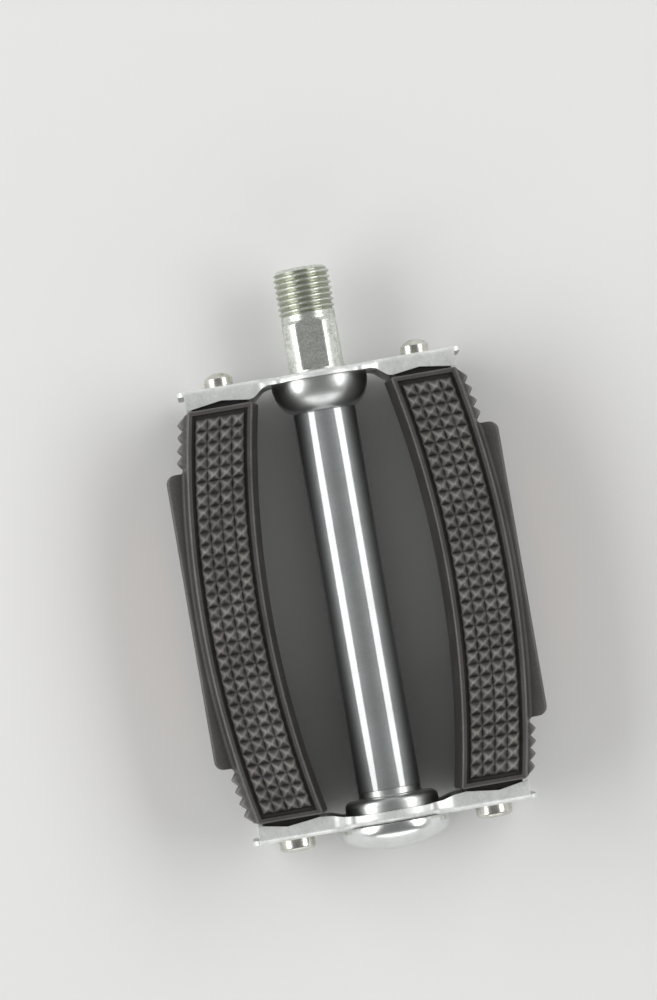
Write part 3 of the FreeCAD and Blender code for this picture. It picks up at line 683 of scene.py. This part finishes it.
def makePlate(name, node, end):
    p = plateShape
    face = innerFace if end == "inner" else outerFace
    inward = -1 if end == "inner" else 1  # the way from the outer face into the cage
    tip = span(node, 0)[1]
    depths = p[end + "Depths"]
    depthX = [x for x, depth in depths]
    depthAt = [depth for x, depth in depths]
    # the web's border, as (x, z, fold): a fold has its outward direction and its place along the wing
    bent = p["tabCorner"]
    corner = arc((-tip + bent, p["tab"] - bent), bent, 180, 90, p["cornerSteps"])
    upper = [(-tip, 0.0, None)] + [(a, b, None) for a, b in corner]
    stations = wingStations(depthX)
    nudge = 0.01
    for x in [-x for x in reversed(stations)] + stations[1:]:
        tangent = Vector((2 * nudge, plateEdge(x + nudge) - plateEdge(x - nudge))).normalized()
        normal = Vector((-tangent.y, tangent.x))
        base = Vector((x, plateEdge(x))) - normal * p["bend"]
        upper.append((base.x, base.y, (normal.x, normal.y, x)))
    upper += [(-a, b, None) for a, b in reversed(corner)] + [(tip, 0.0, None)]
    lower = [(a, -b, (f[0], -f[1], f[2]) if f else None) for a, b, f in reversed(upper[1:-1])]
    border = upper + lower

    web = bmesh.new()
    spots = [web.verts.new((a, face, b)) for a, b, f in border]
    edges = [web.edges.new((spot, spots[(i + 1) % len(spots)])) for i, spot in enumerate(spots)]
    hub = span("inner_dust_shield", 0)[1] + p["shieldGap"] if end == "inner" else p["outerHole"]
    bolts = [middleOf(bolt, 0) for bolt in ("front_bolt", "rear_bolt")]
    holes = [(0.0, hub, p["hubSteps"])] + [(bolt, p["boltHole"], p["holeSteps"]) for bolt in bolts]
    for x, radius, count in holes:
        ring = [web.verts.new((x + a, face, b)) for a, b in arc((0, 0), radius, 0, 360, count)[:-1]]
        edges += [web.edges.new((spot, ring[(i + 1) % count])) for i, spot in enumerate(ring)]
    bmesh.ops.triangle_fill(web, edges=edges, use_beauty=True)
    columns = {}
    for i, (a, b, fold) in enumerate(border):
        if fold is None:
            continue
        column = [spots[i]]
        depth = float(np.interp(abs(fold[2]), depthX, depthAt))
        for step in range(1, p["bendSteps"] + 1):
            turn = math.pi / 2 * step / p["bendSteps"]
            out = p["bend"] * math.sin(turn)
            sink = p["bend"] * (1 - math.cos(turn))
            column.append(web.verts.new((a + fold[0] * out, face + inward * sink, b + fold[1] * out)))
        out = p["bend"]
        column.append(web.verts.new((a + fold[0] * out, face + inward * depth, b + fold[1] * out)))
        columns[i] = column
    for i, column in columns.items():
        follower = columns.get(i + 1)
        if follower is None:
            continue
        for row in range(len(column) - 1):
            web.faces.new((column[row], column[row + 1], follower[row + 1], follower[row]))
    bmesh.ops.recalc_face_normals(web, faces=web.faces)
    outward = Vector((0, -inward, 0))
    flat = max(web.faces, key=lambda one: one.calc_area())
    if flat.normal.dot(outward) < 0:
        bmesh.ops.reverse_faces(web, faces=web.faces)
    web.verts.index_update()
    verts = [tuple(v.co) for v in web.verts]
    faces = [tuple(v.index for v in one.verts) for one in web.faces]
    web.free()
    mesh = plainMesh(name, verts, faces)
    mesh.polygons.foreach_set("use_smooth", [True] * len(mesh.polygons))
    piece = addPiece(name, mesh, "zincSheet", "cage", node)
    sheet = piece.modifiers.new("sheet", "SOLIDIFY")
    sheet.thickness = p["thickness"] * mm
    sheet.offset = -1
    sheet.use_even_offset = True
    soft = piece.modifiers.new("softEdges", "BEVEL")
    soft.width = p["edge"] * mm
    soft.segments = 2
    soft.limit_method = "ANGLE"
    soft.angle_limit = math.radians(p["edgeAngle"])
    soft.harden_normals = True


# Bolts and nuts that clamp the blocks
boltShape = dict(crown=0.45, crownSteps=8, headRound=1.7, headFoot=0.15, shank=2.0, threadLength=16.0,
                 threadPitch=0.7, threadDepth=0.3, crossLength=4.4, crossWidth=1.0, crossDepth=2.1,
                 crossTaper=0.28, crossTurn=0.3, around=64)
nutShape = dict(height=3.6, base=2.2, baseRound=0.14, footRound=0.12, hollow=2.02, roof=1.4, slotWidth=1.0,
                slotDepth=0.95, slotTurns=(24.0, 68.0), domeSteps=13, around=64)
cutMargin = 0.5  # how far a cutter stands out of a head


def makeBolt(name, node):
    b = boltShape
    foot, tip = span(node, 1)
    x = middleOf(node, 0)
    radius = halfOf(node, 0)
    bulge = (radius**2 + b["crown"]**2) / (2 * b["crown"])
    flat = radius - b["headRound"]
    dome = [(r, foot + bulge - math.sqrt(bulge**2 - r**2)) for r in np.linspace(0, flat, b["crownSteps"])]
    edge = roundCorners([dome[-1], (radius, foot + b["crown"], b["headRound"]),
                         (radius, outerFace, b["headFoot"]), (b["shank"], outerFace)],
                        closed=False, steps=8)
    outline = dome[:-1] + edge[1:]
    y = tip - b["threadLength"]
    outline.append((b["shank"], y))
    root = b["shank"] - b["threadDepth"]
    while y < tip - b["threadPitch"]:
        outline += [(root, y + b["threadPitch"] / 2), (b["shank"], y + b["threadPitch"])]
        y += b["threadPitch"]
    outline += [(root, tip), (0.0, tip)]
    verts, faces = lathe(outline, b["around"], closed=False, x=x)
    piece = newPiece(name, verts, faces, "zincFastener", "cage", node)
    far, near = b["crossLength"] / 2, b["crossWidth"] / 2
    cross = []
    for quarter in range(4):
        turn = Matrix.Rotation(math.pi / 2 * quarter + b["crossTurn"], 2)
        cross += [tuple(turn @ Vector(spot)) for spot in ((near, near), (far, near), (far, -near))][::-1]
    carve(piece, *prism(cross, foot - cutMargin, foot + b["crossDepth"], x, b["crossTaper"]))


def makeNut(name, node, slotTurn):
    n = nutShape
    foot = span(node, 1)[0]
    tip = foot + n["height"]  # of the whole dome, before the slot is cut
    x = middleOf(node, 0)
    radius = halfOf(node, 0)
    crown = n["height"] - n["base"]
    bulge = (radius**2 + crown**2) / (2 * crown)
    sweep = math.degrees(math.asin(radius / bulge))
    dome = arc((0.0, tip - bulge), bulge, 90 - sweep, 90, n["domeSteps"])
    edge = roundCorners([(n["hollow"], foot), (radius, foot, n["footRound"]), dome[0] + (n["baseRound"],),
                         dome[1]], closed=False, steps=4)
    outline = [(0.0, tip - n["roof"]), (n["hollow"], tip - n["roof"])] + edge[:-1] + dome[1:]
    verts, faces = lathe(outline, n["around"], closed=False, x=x)
    piece = newPiece(name, verts, faces, "zincFastener", "cage", node)
    turn = Matrix.Rotation(math.radians(slotTurn), 2)
    far, near = radius * 2, n["slotWidth"] / 2
    slot = [tuple(turn @ Vector(spot)) for spot in ((far, near), (-far, near), (-far, -near), (far, -near))]
    carve(piece, *prism(slot, tip - n["slotDepth"], tip + cutMargin, x))


# Rubber tread blocks: one swept skin with stud panels, side studs, reflector frame, tongues and bore
blockShape = dict(width=14.4, flare=1.2, bow=4.8, endGap=0.2, rim=1.15, rimWall=(0.14, 0.1), recess=0.9,
                  edgeRound=0.45, pitch=2.73, columns=4, rows=32, sideColumns=6, sideFirst=28, sideLast=32,
                  perStud=8, studLift=0.2, studHeight=1.3, studSoft=0.10, studWear=0.16, studLean=0.16,
                  studTilt=0.08, frameHalf=32.75, frameHeight=8.0, frameEnd=2.0, frameEdge=0.7,
                  frameFillet=1.1, seatGap=0.15, seatCorner=1.5, seatInset=0.01, tongueInset=0.8,
                  tongueHalf=9.8, tongueEdge=0.3, tongueShrink=0.97, boreRadius=2.15, seed=11)
# how far from each turn of the shape the mesh has lines
blockLines = dict(rimEnd=(-0.3, -0.1, -0.02, 0.06, 0.12, 0.2), rimSide=(-0.22, -0.14, -0.06, 0.02, 0.1, 0.2),
                  panelEnd=(0.08, 0.25), panelSide=(0.03, 0.2), fillet=(0.002, 0.1, 0.3, 0.6, 1.1),
                  frameEnd=(0.002, 0.05, 0.2, 0.5, 0.9, 1.4, 2.0), frameEdge=(0.002, 0.05, 0.2, 0.45, 0.7),
                  seat=(-0.002, 0.002, 0.08, 0.2), seatEdge=0.1, seatCorner=10, sideHeights=(9.6, 10.6),
                  sideTop=(-0.4, 0.02), innerSide=15, edge=5)
# how pale the rubber is painted, from 0 to 1, with the studs first: rubbed wear at tips, edges and rims, a
# painted highlight on the stud ridges and painted shade on the stud faces turned from the lamps; each stud
# takes a random part of it
blockWearAndLight = dict(tip=0.62, foot=0.05, ridgeHighlight=0.46, ridgeHighlightFoot=0.4, ridgeHighlightWidth=(0.04, 0.4), leeShade=0.92,
                 leeShadeEdge=(0.0, 0.2), leastPart=0.7, randomPart=0.5, rim=0.20, rimEdge=0.1, edge=0.48,
                 end=0.43, outer=0.09, inner=0.06, frame=0.07, frameEdge=0.36, frameReach=(-1.2, -0.1))
lineGap = 1e-3  # lines of the mesh that lie closer than this are one


def smoothStep(value, low, high):
    t = np.clip((value - low) / (high - low), 0, 1)
    return t * t * (3 - 2 * t)


# height of a stud with softened ridges and tip, over its square from -1 to 1
def studShape(a, b, soft):
    sideA = np.sqrt(a * a + soft * soft)
    sideB = np.sqrt(b * b + soft * soft)
    far = 0.5 * (sideA + sideB + np.sqrt((sideA - sideB)**2 + soft * soft))
    rim, tip = 1.02, 1.5 * soft  # where the stud starts to rise and where it is highest
    return np.clip((rim - far) / (rim - tip), 0, 1)


# a stud pales from its foot to its tip where it is rubbed; its ridges get a painted highlight, and its face
# turned away from the lamps stays dark as painted shade
def studWearAndLight(a, b, height, leeShade):
    w = blockWearAndLight
    ridgeHighlight = 1 - smoothStep(np.abs(np.abs(a) - np.abs(b)), *w["ridgeHighlightWidth"])
    leeShadeShare = smoothStep(leeShade * b - np.abs(a), *w["leeShadeEdge"])
    ridgeHighlight = w["ridgeHighlight"] * ridgeHighlight * (w["ridgeHighlightFoot"] + (1 - w["ridgeHighlightFoot"]) * height)
    return (ridgeHighlight + w["tip"] * height + w["foot"]) * (1 - w["leeShade"] * leeShadeShare)


# index of the stud that a place lies in, and the place in it from -1 to 1
def cellPlace(value, pitch, lines):
    index = np.clip(np.floor(value / pitch + lines / 2), 0, lines - 1)
    inside = (value / pitch + lines / 2 - index) * 2 - 1
    return index.astype(int), inside


# sorts places and leaves out those that lie very close to the one before
def spaced(places):
    places = np.array(sorted(places))
    return places[np.concatenate([[True], np.diff(places) > lineGap])]


# how far a rounded edge drops, at a distance in from it
def roundDrop(inset, radius):
    t = np.clip(1 - inset / radius, 0, 1)
    return radius * (1 - np.sqrt(1 - t * t))


def makeBlock(name, node, side):
    b = blockShape
    near = blockLines
    wornAndLit = blockWearAndLight
    rng = np.random.default_rng(b["seed"] + (0 if side > 0 else 1))
    low, high = span(node, 0)
    inner = (low if side > 0 else -high) + b["flare"]
    reach = high if side > 0 else -low
    top = span(node, 2)[1] - (b["studLift"] + b["studHeight"] - b["recess"])
    half = span("inner_plate", 1)[0] - middleY - b["endGap"]
    tongueEnd = span(node, 1)[1] - middleY
    lens = node.replace("block", "reflector_lens")
    shell = node.replace("block", "reflector_shell")
    seatHalf = halfOf(lens, 1) + b["seatGap"]
    seatHeight = span(lens, 2)[1] + b["seatGap"]
    seatFloor = min(abs(x) for x in span(shell, 0)) - b["seatInset"]
    bowRadius = (half**2 + b["bow"]**2) / (2 * b["bow"])
    width = b["width"]
    pitch = b["pitch"]
    fieldHalf = b["rows"] * pitch / 2
    fieldWide = b["columns"] * pitch / 2

    # lines along the block: stud lines, then closer ones where the shape turns
    fine = pitch / b["perStud"]
    edgeEnd = half - b["edgeRound"]
    lines = list((np.arange(b["rows"] * b["perStud"] + 1) - b["rows"] * b["perStud"] / 2) * fine)
    ends = [half - b["rim"] + t for t in near["rimEnd"]] + [edgeEnd]
    ends += [fieldHalf + t for t in near["panelEnd"]]
    ends += list(fieldHalf + fine * np.arange(1, b["perStud"] + 1))
    ends += [b["frameHalf"] + t for t in near["fillet"]]
    ends += [b["frameHalf"] - t for t in near["frameEnd"]]
    ends += [seatHalf + t for t in near["seat"]]
    ends += list(np.linspace(seatHalf - b["seatCorner"], seatHalf - near["seatEdge"], near["seatCorner"]))
    ends = [y for y in ends if y <= edgeEnd + tiny]
    lines = spaced(lines + ends + [-y for y in ends])

    # stations round the section: tread face, outer side, lower tread face, inner side
    edgeTop = top - b["edgeRound"]
    fieldEdge = width / 2 - fieldWide
    across = [b["edgeRound"], 2 * b["edgeRound"]] + [b["rim"] + t for t in near["rimSide"]]
    across += [(b["rim"] + fieldEdge) / 2] + [fieldEdge - t for t in near["panelSide"]]
    across += list(fieldEdge + fine * np.arange(b["columns"] * b["perStud"] // 2 + 1))
    across = np.array(sorted(set(np.round(across + [width - u for u in across], 6))))
    sides = list(fine * np.arange(b["sideColumns"] * b["perStud"] // 2 + 1))
    sides += [b["frameHeight"] + t for t in near["fillet"]]
    sides += [b["frameHeight"] - t for t in near["frameEdge"]]
    sides += [seatHeight + t for t in near["seat"]]
    sides += list(np.linspace(seatHeight - b["seatCorner"], seatHeight - near["seatEdge"],
                              near["seatCorner"]))
    sides += list(near["sideHeights"]) + [edgeTop + t for t in near["sideTop"]]
    sides = spaced(np.round(sides + [-z for z in sides], 6))
    plain = np.linspace(edgeTop, -edgeTop, near["innerSide"])
    rounding = np.linspace(0, math.pi / 2, near["edge"])[1:-1]

    # (kind, place in mm or angle of an edge's arc, upper or lower side)
    stations = [("tread", u, 1) for u in across]
    stations += [("outerEdge", a, 1) for a in rounding]
    stations += [("outer", z, 0) for z in sides[::-1]]
    stations += [("outerEdge", a, -1) for a in rounding[::-1]]
    stations += [("tread", u, -1) for u in across[::-1]]
    stations += [("innerEdge", a, -1) for a in rounding]
    stations += [("inner", z, 0) for z in plain[::-1]]
    stations += [("innerEdge", a, 1) for a in rounding[::-1]]

    studTip = 1 - b["studWear"] * rng.random((2, b["columns"], b["rows"]))
    studLean = b["studLean"] * (2 * rng.random((2, 2, b["columns"], b["rows"])) - 1)
    studRubAndLight = wornAndLit["leastPart"] + wornAndLit["randomPart"] * rng.random((2, b["columns"], b["rows"]))
    sideTip = 1 - b["studWear"] * rng.random((2, b["sideColumns"], b["sideLast"] - b["sideFirst"]))

    def treadAt(u, y, upper):
        # height over the rim, and how rubbed it is
        inset = np.minimum(min(u, width - u), half - np.abs(y))
        wallTop, wallFoot = b["rimWall"]
        height = -b["recess"] * smoothStep(inset, b["rim"] - wallTop, b["rim"] + wallFoot)
        column, a = cellPlace(np.array(u - width / 2), pitch, b["columns"])
        row, c = cellPlace(y, pitch, b["rows"])
        field = (abs(u - width / 2) <= fieldWide + tiny) & (np.abs(y) <= fieldHalf + tiny)
        panel = 0 if upper > 0 else 1
        column = int(column)
        a = a - studLean[0, panel, column, row] * (1 - a * a)
        c = c - (studLean[1, panel, column, row] - side * b["studTilt"]) * (1 - c * c)
        stud = studShape(a, c, b["studSoft"])
        tall = b["studHeight"] * stud * studTip[panel, column, row]
        height = np.where(field, -b["recess"] + b["studLift"] + tall, height)
        rubbedAndLit = np.where(field, studWearAndLight(a, c, stud, -side) * studRubAndLight[panel, column, row], wornAndLit["rim"])
        rubbedAndLit = np.where(~field & (inset > b["rim"] - wornAndLit["rimEdge"]), 0.0, rubbedAndLit)
        return height, rubbedAndLit

    def outerAt(z, y, bow):
        flank = inner + width + bow + b["flare"] * (1 - abs(z) / top)
        rubbedAndLit = np.full(len(y), wornAndLit["outer"])
        line = (b["rows"] - 1) / 2  # the side studs stand half a row off the panel's rows
        row = np.abs(y) / pitch + line
        studs = (row >= b["sideFirst"] - tiny) & (row <= b["sideLast"] + tiny)
        studs &= abs(z) <= b["sideColumns"] * pitch / 2 + tiny
        column, a = cellPlace(np.array(z), pitch, b["sideColumns"])
        cell = np.clip(np.floor(row), b["sideFirst"], b["sideLast"] - 1)
        c = (row - cell) * 2 - 1
        stud = studShape(a, c, b["studSoft"])
        tip = sideTip[(y > 0).astype(int), int(column), (cell - b["sideFirst"]).astype(int)]
        x = np.where(studs, flank + b["studLift"] + b["studHeight"] * stud * tip, flank)
        rubbedAndLit = np.where(studs, studWearAndLight(a, c, stud, 0.0), rubbedAndLit)
        endDrop = b["frameHalf"] - np.abs(y)
        sideDrop = b["frameHeight"] - abs(z)
        outside = np.maximum(-endDrop, -sideDrop)
        rise = np.clip(1 - outside / b["frameFillet"], 0, 1)
        fillet = b["frameFillet"] * (1 - np.sqrt(np.clip(1 - rise**2, 0, 1)))
        x = np.where(outside > 0, x + fillet * ~studs, x)
        fall = roundDrop(endDrop, b["frameEnd"]) + roundDrop(np.full(len(y), sideDrop), b["frameEdge"])
        x = np.where(outside <= 0, reach - fall, x)
        frameWear = wornAndLit["frameEdge"] * smoothStep(outside, *wornAndLit["frameReach"]) + wornAndLit["frame"]
        rubbedAndLit = np.where(outside <= 0, frameWear, rubbedAndLit)
        deepY = np.abs(y) - seatHalf + b["seatCorner"]
        deepZ = abs(z) - seatHeight + b["seatCorner"]
        beyond = np.hypot(np.maximum(deepY, 0), np.maximum(deepZ, 0))
        seat = beyond + np.minimum(np.maximum(deepY, deepZ), 0) - b["seatCorner"]
        x = np.where(seat < 0, seatFloor, x)
        return x, np.where(seat < 0, 0.0, rubbedAndLit)

    bow = np.sqrt(bowRadius**2 - lines**2) - bowRadius + b["bow"]
    rings = np.zeros((len(lines), len(stations), 3))
    wearAndLight = np.zeros((len(lines), len(stations)))
    r = b["edgeRound"]
    for index, (kind, place, sign) in enumerate(stations):
        y = lines
        if kind == "tread":
            height, rubbedAndLit = treadAt(place, y, sign)
            x = inner + place + bow
            z = sign * (top + height)
        elif kind == "outer":
            x, rubbedAndLit = outerAt(place, y, bow)
            z = np.full(len(y), place)
        elif kind == "inner":
            x = inner + bow - b["flare"] * (1 - abs(place) / top)
            z = np.full(len(y), place)
            rubbedAndLit = np.full(len(y), wornAndLit["inner"])
        else:
            edge = width - r if kind == "outerEdge" else r
            out = 1 if kind == "outerEdge" else -1
            x = inner + bow + edge + out * r * math.sin(place)
            z = np.full(len(y), sign * (top - r + r * math.cos(place)))
            rubbedAndLit = np.full(len(y), wornAndLit["edge"])
        rings[:, index] = np.stack([x, y, z], 1)
        wearAndLight[:, index] = rubbedAndLit

    # each end: rounded edge, end face, tongue, then the bore that joins both ends
    endTurns = (30, 60, 90)
    centreX = inner + width / 2
    boltX = abs(middleOf(node.replace("block", "bolt"), 0))
    u = np.array([np.clip(p[0] - inner - bow[0], 0, width) / width for p in rings[0]])
    share = np.array([np.clip(p[2] / top, -1, 1) for p in rings[0]])
    tongueX = inner + b["tongueInset"] + u * (width - 2 * b["tongueInset"])
    tongueZ = share * b["tongueHalf"]
    angle = np.arctan2(tongueZ, tongueX - boltX)
    boreX = boltX + b["boreRadius"] * np.cos(angle)
    boreZ = b["boreRadius"] * np.sin(angle)

    def endRings(ring, sign):
        made = []
        shrink = b["tongueShrink"]
        for a in np.radians(endTurns):
            inset = r * (1 - math.cos(a))
            x = centreX + (ring[:, 0] - centreX) * (1 - inset / (width / 2))
            z = ring[:, 2] * (1 - inset / top)
            made.append((x, half - r + r * math.sin(a), z))
        made.append((tongueX, half, tongueZ))
        made.append((tongueX, tongueEnd - b["tongueEdge"], tongueZ))
        made.append((centreX + (tongueX - centreX) * shrink, tongueEnd, tongueZ * shrink))
        made.append((boreX, tongueEnd, boreZ))
        return [np.stack([x, np.full(len(x), sign * y), z], 1) for x, y, z in made]

    first = np.array(endRings(rings[0], -1)[::-1])
    last = np.array(endRings(rings[-1], 1))
    whole = np.concatenate([first, rings, last])
    rubbedAndLit = np.concatenate([np.zeros(first.shape[:2]), wearAndLight, np.zeros(last.shape[:2])])
    rubbedAndLit[len(first) - len(endTurns):len(first)] = wornAndLit["end"]
    rubbedAndLit[-len(last):-len(last) + len(endTurns)] = wornAndLit["end"]
    whole[:, :, :2] *= side
    whole[:, :, 1] += middleY
    rows, columns = whole.shape[:2]
    place = np.arange(rows * columns).reshape(rows, columns)
    following = np.roll(place, -1, axis=0)
    faces = np.stack([place, np.roll(place, -1, axis=1), np.roll(following, -1, axis=1), following], 2)
    piece = newPiece(name, whole.reshape(-1, 3).tolist(), faces.reshape(-1, 4).tolist(), "treadRubber",
                     "cage", node, sharp=50)
    # the mark carries rubbed wear together with painted highlights and painted shade
    mark(piece, "wearAndLight", rubbedAndLit.ravel())


# Reflector lens: smooth outside, its back cut into cube corners
lensShape = dict(edge=0.35, edgeShare=0.3, prism=2.2, border=0.8, corner=1.35)


def makeLensPiece(name, node, side):
    s = lensShape
    low, high = span(node, 0)
    back, face = (low, high) if side > 0 else (-high, -low)
    halfY, halfZ = halfOf(node, 1), halfOf(node, 2)
    middle = middleOf(node, 1)

    def ring(inset):
        corner = s["corner"] - inset
        a, b = halfY - inset, halfZ - inset
        return roundCorners([(-a, -b, corner), (a, -b, corner), (a, b, corner), (-a, b, corner)])

    lens = bmesh.new()
    spots = {}

    def spot(x, y, z):
        key = (round(x, 5), round(y, 5), round(z, 5))
        if key not in spots:
            spots[key] = lens.verts.new((side * x * mm, (middle + y) * mm, z * mm))
        return spots[key]

    cut = s["edge"] * s["edgeShare"]
    steps = ((back, 0.0), (face - s["edge"], 0.0), (face - cut, cut), (face, s["edge"]))
    loops = [[spot(x, y, z) for y, z in ring(inset)] for x, inset in steps]
    count = len(loops[0])
    for loop, follower in zip(loops, loops[1:]):
        for i in range(count):
            lens.faces.new((loop[i], loop[(i + 1) % count], follower[(i + 1) % count], follower[i]))
    lens.faces.new(loops[-1])

    # three-sided hollows in rows of triangles that point up and down by turns
    pitch = s["prism"]
    rowStep = pitch * math.sqrt(3) / 2
    depth = pitch / math.sqrt(6)
    rows = int(2 * (halfZ - s["border"]) / rowStep)
    cells = int(4 * (halfY - s["border"]) / pitch) - 1
    for row in range(rows):
        z = (row - rows / 2) * rowStep
        for cell in range(cells):
            y = (cell - cells / 2 - 0.5) * pitch / 2
            base, tip = (z, z + rowStep) if (row + cell) % 2 else (z + rowStep, z)
            corners = [spot(back, y, base), spot(back, y + pitch, base), spot(back, y + pitch / 2, tip)]
            apex = spot(back + depth, y + pitch / 2, (2 * base + tip) / 3)
            for i in range(3):
                lens.faces.new((corners[i], corners[(i + 1) % 3], apex))
    rim = [edge for edge in lens.edges if len(edge.link_faces) == 1]
    bmesh.ops.triangle_fill(lens, edges=rim, use_beauty=True)
    bmesh.ops.recalc_face_normals(lens, faces=lens.faces)
    mesh = bpy.data.meshes.new(name)
    lens.to_mesh(mesh)
    lens.free()
    piece = addPiece(name, mesh, "amberLens", "cage", node)
    smoothen(piece, sharp=20)


makeSpindle()
makeTube()
makeCup("innerCup", "inner_cup", "inner_balls", span("inner_cup", 1)[1], tubeTop, cupShape["innerLip"],
        cupShape["innerRound"])
makeCup("outerCup", "outer_cup", "outer_balls", span("outer_cup", 1)[0], tubeFoot, cupShape["outerLip"],
        cupShape["outerRound"], cupShape["outerShoulder"])
makeDustCap()
print("spindle, tube, cups and cap made")
makePlate("innerPlate", "inner_plate", "inner")
makePlate("outerPlate", "outer_plate", "outer")
print("plates made")
for end, side, slotTurn in (("front", 1, nutShape["slotTurns"][0]), ("rear", -1, nutShape["slotTurns"][1])):
    makeBolt(end + "Bolt", end + "_bolt")
    makeNut(end + "Nut", end + "_nut", slotTurn)
    makeBlock(end + "Block", end + "_block", side)
    makeLensPiece(end + "Lens", end + "_reflector_lens", side)
print("bolts, nuts, blocks and lenses made")

# CAD pieces that stay as they are
kept = {"inner_dust_shield": "zincCap", "outer_cone": "bearingSteel", "lock_washer": "zincFastener",
        "lock_nut": "zincFastener", "inner_balls": "bearingSteel", "outer_balls": "bearingSteel",
        "front_reflector_shell": "shellPlastic", "rear_reflector_shell": "shellPlastic"}
for node, finish in kept.items():
    nodes[node].data.materials.clear()
    nodes[node].data.materials.append(finishes[finish])
    smoothen(nodes[node], sharp=35)
print("kept nodes dressed:", len(kept))


# Stage: pale floor, two long soft lamps, a low one in front and a grey sky that pales to the horizon
stageLook = dict(floor=(0.80, 0.80, 0.79), floorSize=40.0, skyTop=0.20, skyEdge=0.85, skyHeights=(0.10, 0.48),
                 fade=(0.25, 1.0), lampReach=2.0)
# turn about X and Y in degrees, width and height in metres, watts per square metre, shift along Y
lampLooks = {
    "leftLamp": dict(turn=(0, -57), size=(1.35, 3.4), glow=8.0, shift=0.75),
    "rightLamp": dict(turn=(0, 49), size=(1.0, 3.4), glow=8.0, shift=0.75),
    "frontLamp": dict(turn=(62, 0), size=(3.0, 1.0), glow=3.2, shift=0.0),
}


def makeStage():
    s = stageLook
    size = s["floorSize"] / 2
    mesh = bpy.data.meshes.new("floor")
    corners = [(-size, -size, 0), (size, -size, 0), (size, size, 0), (-size, size, 0)]
    mesh.from_pydata(corners, [], [(0, 1, 2, 3)])
    floor = bpy.data.objects.new("floor", mesh)
    floor.location = (0, middleY * mm, lowestZ * mm)
    scene.collection.objects.link(floor)
    material, tree, shader = newMaterial("paleFloor", {"Base Color": (*s["floor"], 1), "Roughness": 0.9,
                                                       "Specular IOR Level": 0.1})
    # far from the pedal the floor runs into the backdrop, for the rays that see it and not for its light
    place = put(tree, "TexCoord", -900, -300)
    reach = put(tree, "VectorMath", -700, -300, operation="LENGTH")
    tree.links.new(place.outputs["Object"], reach.inputs[0])
    share = mapped(tree, reach.outputs["Value"], 0.0, 1.0, -500, -300, *s["fade"])
    rays = put(tree, "LightPath", -900, -600)
    seen = rays.outputs["Is Camera Ray"]
    for row, ray in enumerate(("Is Glossy Ray", "Is Transmission Ray")):
        either = put(tree, "Math", -700, -600 - 200 * row, operation="MAXIMUM")
        tree.links.new(seen, either.inputs[0])
        tree.links.new(rays.outputs[ray], either.inputs[1])
        seen = either.outputs[0]
    gate = put(tree, "Math", -300, -450, operation="MULTIPLY")
    tree.links.new(share, gate.inputs[0])
    tree.links.new(seen, gate.inputs[1])
    backdrop = put(tree, "Emission", -100, -300, {"Color": (1, 1, 1, 1), "Strength": s["skyEdge"]})
    blend = put(tree, "MixShader", 350, 100)
    tree.links.new(gate.outputs[0], blend.inputs[0])
    tree.links.new(shader.outputs[0], blend.inputs[1])
    tree.links.new(backdrop.outputs[0], blend.inputs[2])
    tree.links.new(blend.outputs[0], tree.nodes["Material Output"].inputs["Surface"])
    mesh.materials.append(material)
    target = Vector((0, middleY * mm, 0))
    for name, look in lampLooks.items():
        data = bpy.data.lights.new(name, "AREA")
        data.shape = "ELLIPSE"
        data.size, data.size_y = look["size"]
        data.energy = look["glow"] * data.size * data.size_y
        lamp = bpy.data.objects.new(name, data)
        lamp.rotation_euler = (math.radians(look["turn"][0]), math.radians(look["turn"][1]), 0)
        lamp.location = target + lamp.rotation_euler.to_matrix() @ Vector((0, 0, s["lampReach"]))
        lamp.location.y += look["shift"]
        scene.collection.objects.link(lamp)
    world = bpy.data.worlds.new("studio")
    scene.world = world
    world.use_nodes = True
    tree = world.node_tree
    coords = put(tree, "TexCoord", -900, 0)
    split = put(tree, "SeparateXYZ", -700, 0)
    tree.links.new(coords.outputs["Generated"], split.inputs[0])
    level = mapped(tree, split.outputs["Z"], s["skyEdge"], s["skyTop"], -450, 0, *s["skyHeights"])
    background = tree.nodes["Background"]
    background.inputs["Color"].default_value = (1, 1, 1, 1)
    tree.links.new(level, background.inputs["Strength"])


# Camera over the tread face, turned so that the crank thread points up and to the left.
# Lengths in millimetres, angles in degrees, scale in picture pixels per millimetre.
cameraView = dict(distance=1000.0, aimY=-55.0, right=-4.62, up=12.68, tilt=-1.79, lean=1.04, turn=9.75,
                  scale=4.523, pictureHeight=1000, sensor=36.0, clip=(0.05, 50.0))  # clip in metres


def makeCamera():
    c = cameraView
    data = bpy.data.cameras.new("photoCamera")
    data.sensor_width = c["sensor"]
    data.lens = c["scale"] * c["distance"] * data.sensor_width / c["pictureHeight"]
    data.clip_start, data.clip_end = c["clip"]
    camera = bpy.data.objects.new("photoCamera", data)
    view = Euler([math.radians(c[key]) for key in ("tilt", "lean", "turn")], "XYZ").to_matrix()
    back = view.transposed()
    place = Vector((0, c["aimY"], 0)) + back @ Vector((c["right"], c["up"], c["distance"]))
    camera.matrix_world = Matrix.Translation(place * mm) @ back.to_4x4()
    scene.collection.objects.link(camera)
    scene.camera = camera


makeStage()
makeCamera()
scene.view_settings.view_transform = "Standard"
print("stage and camera made")
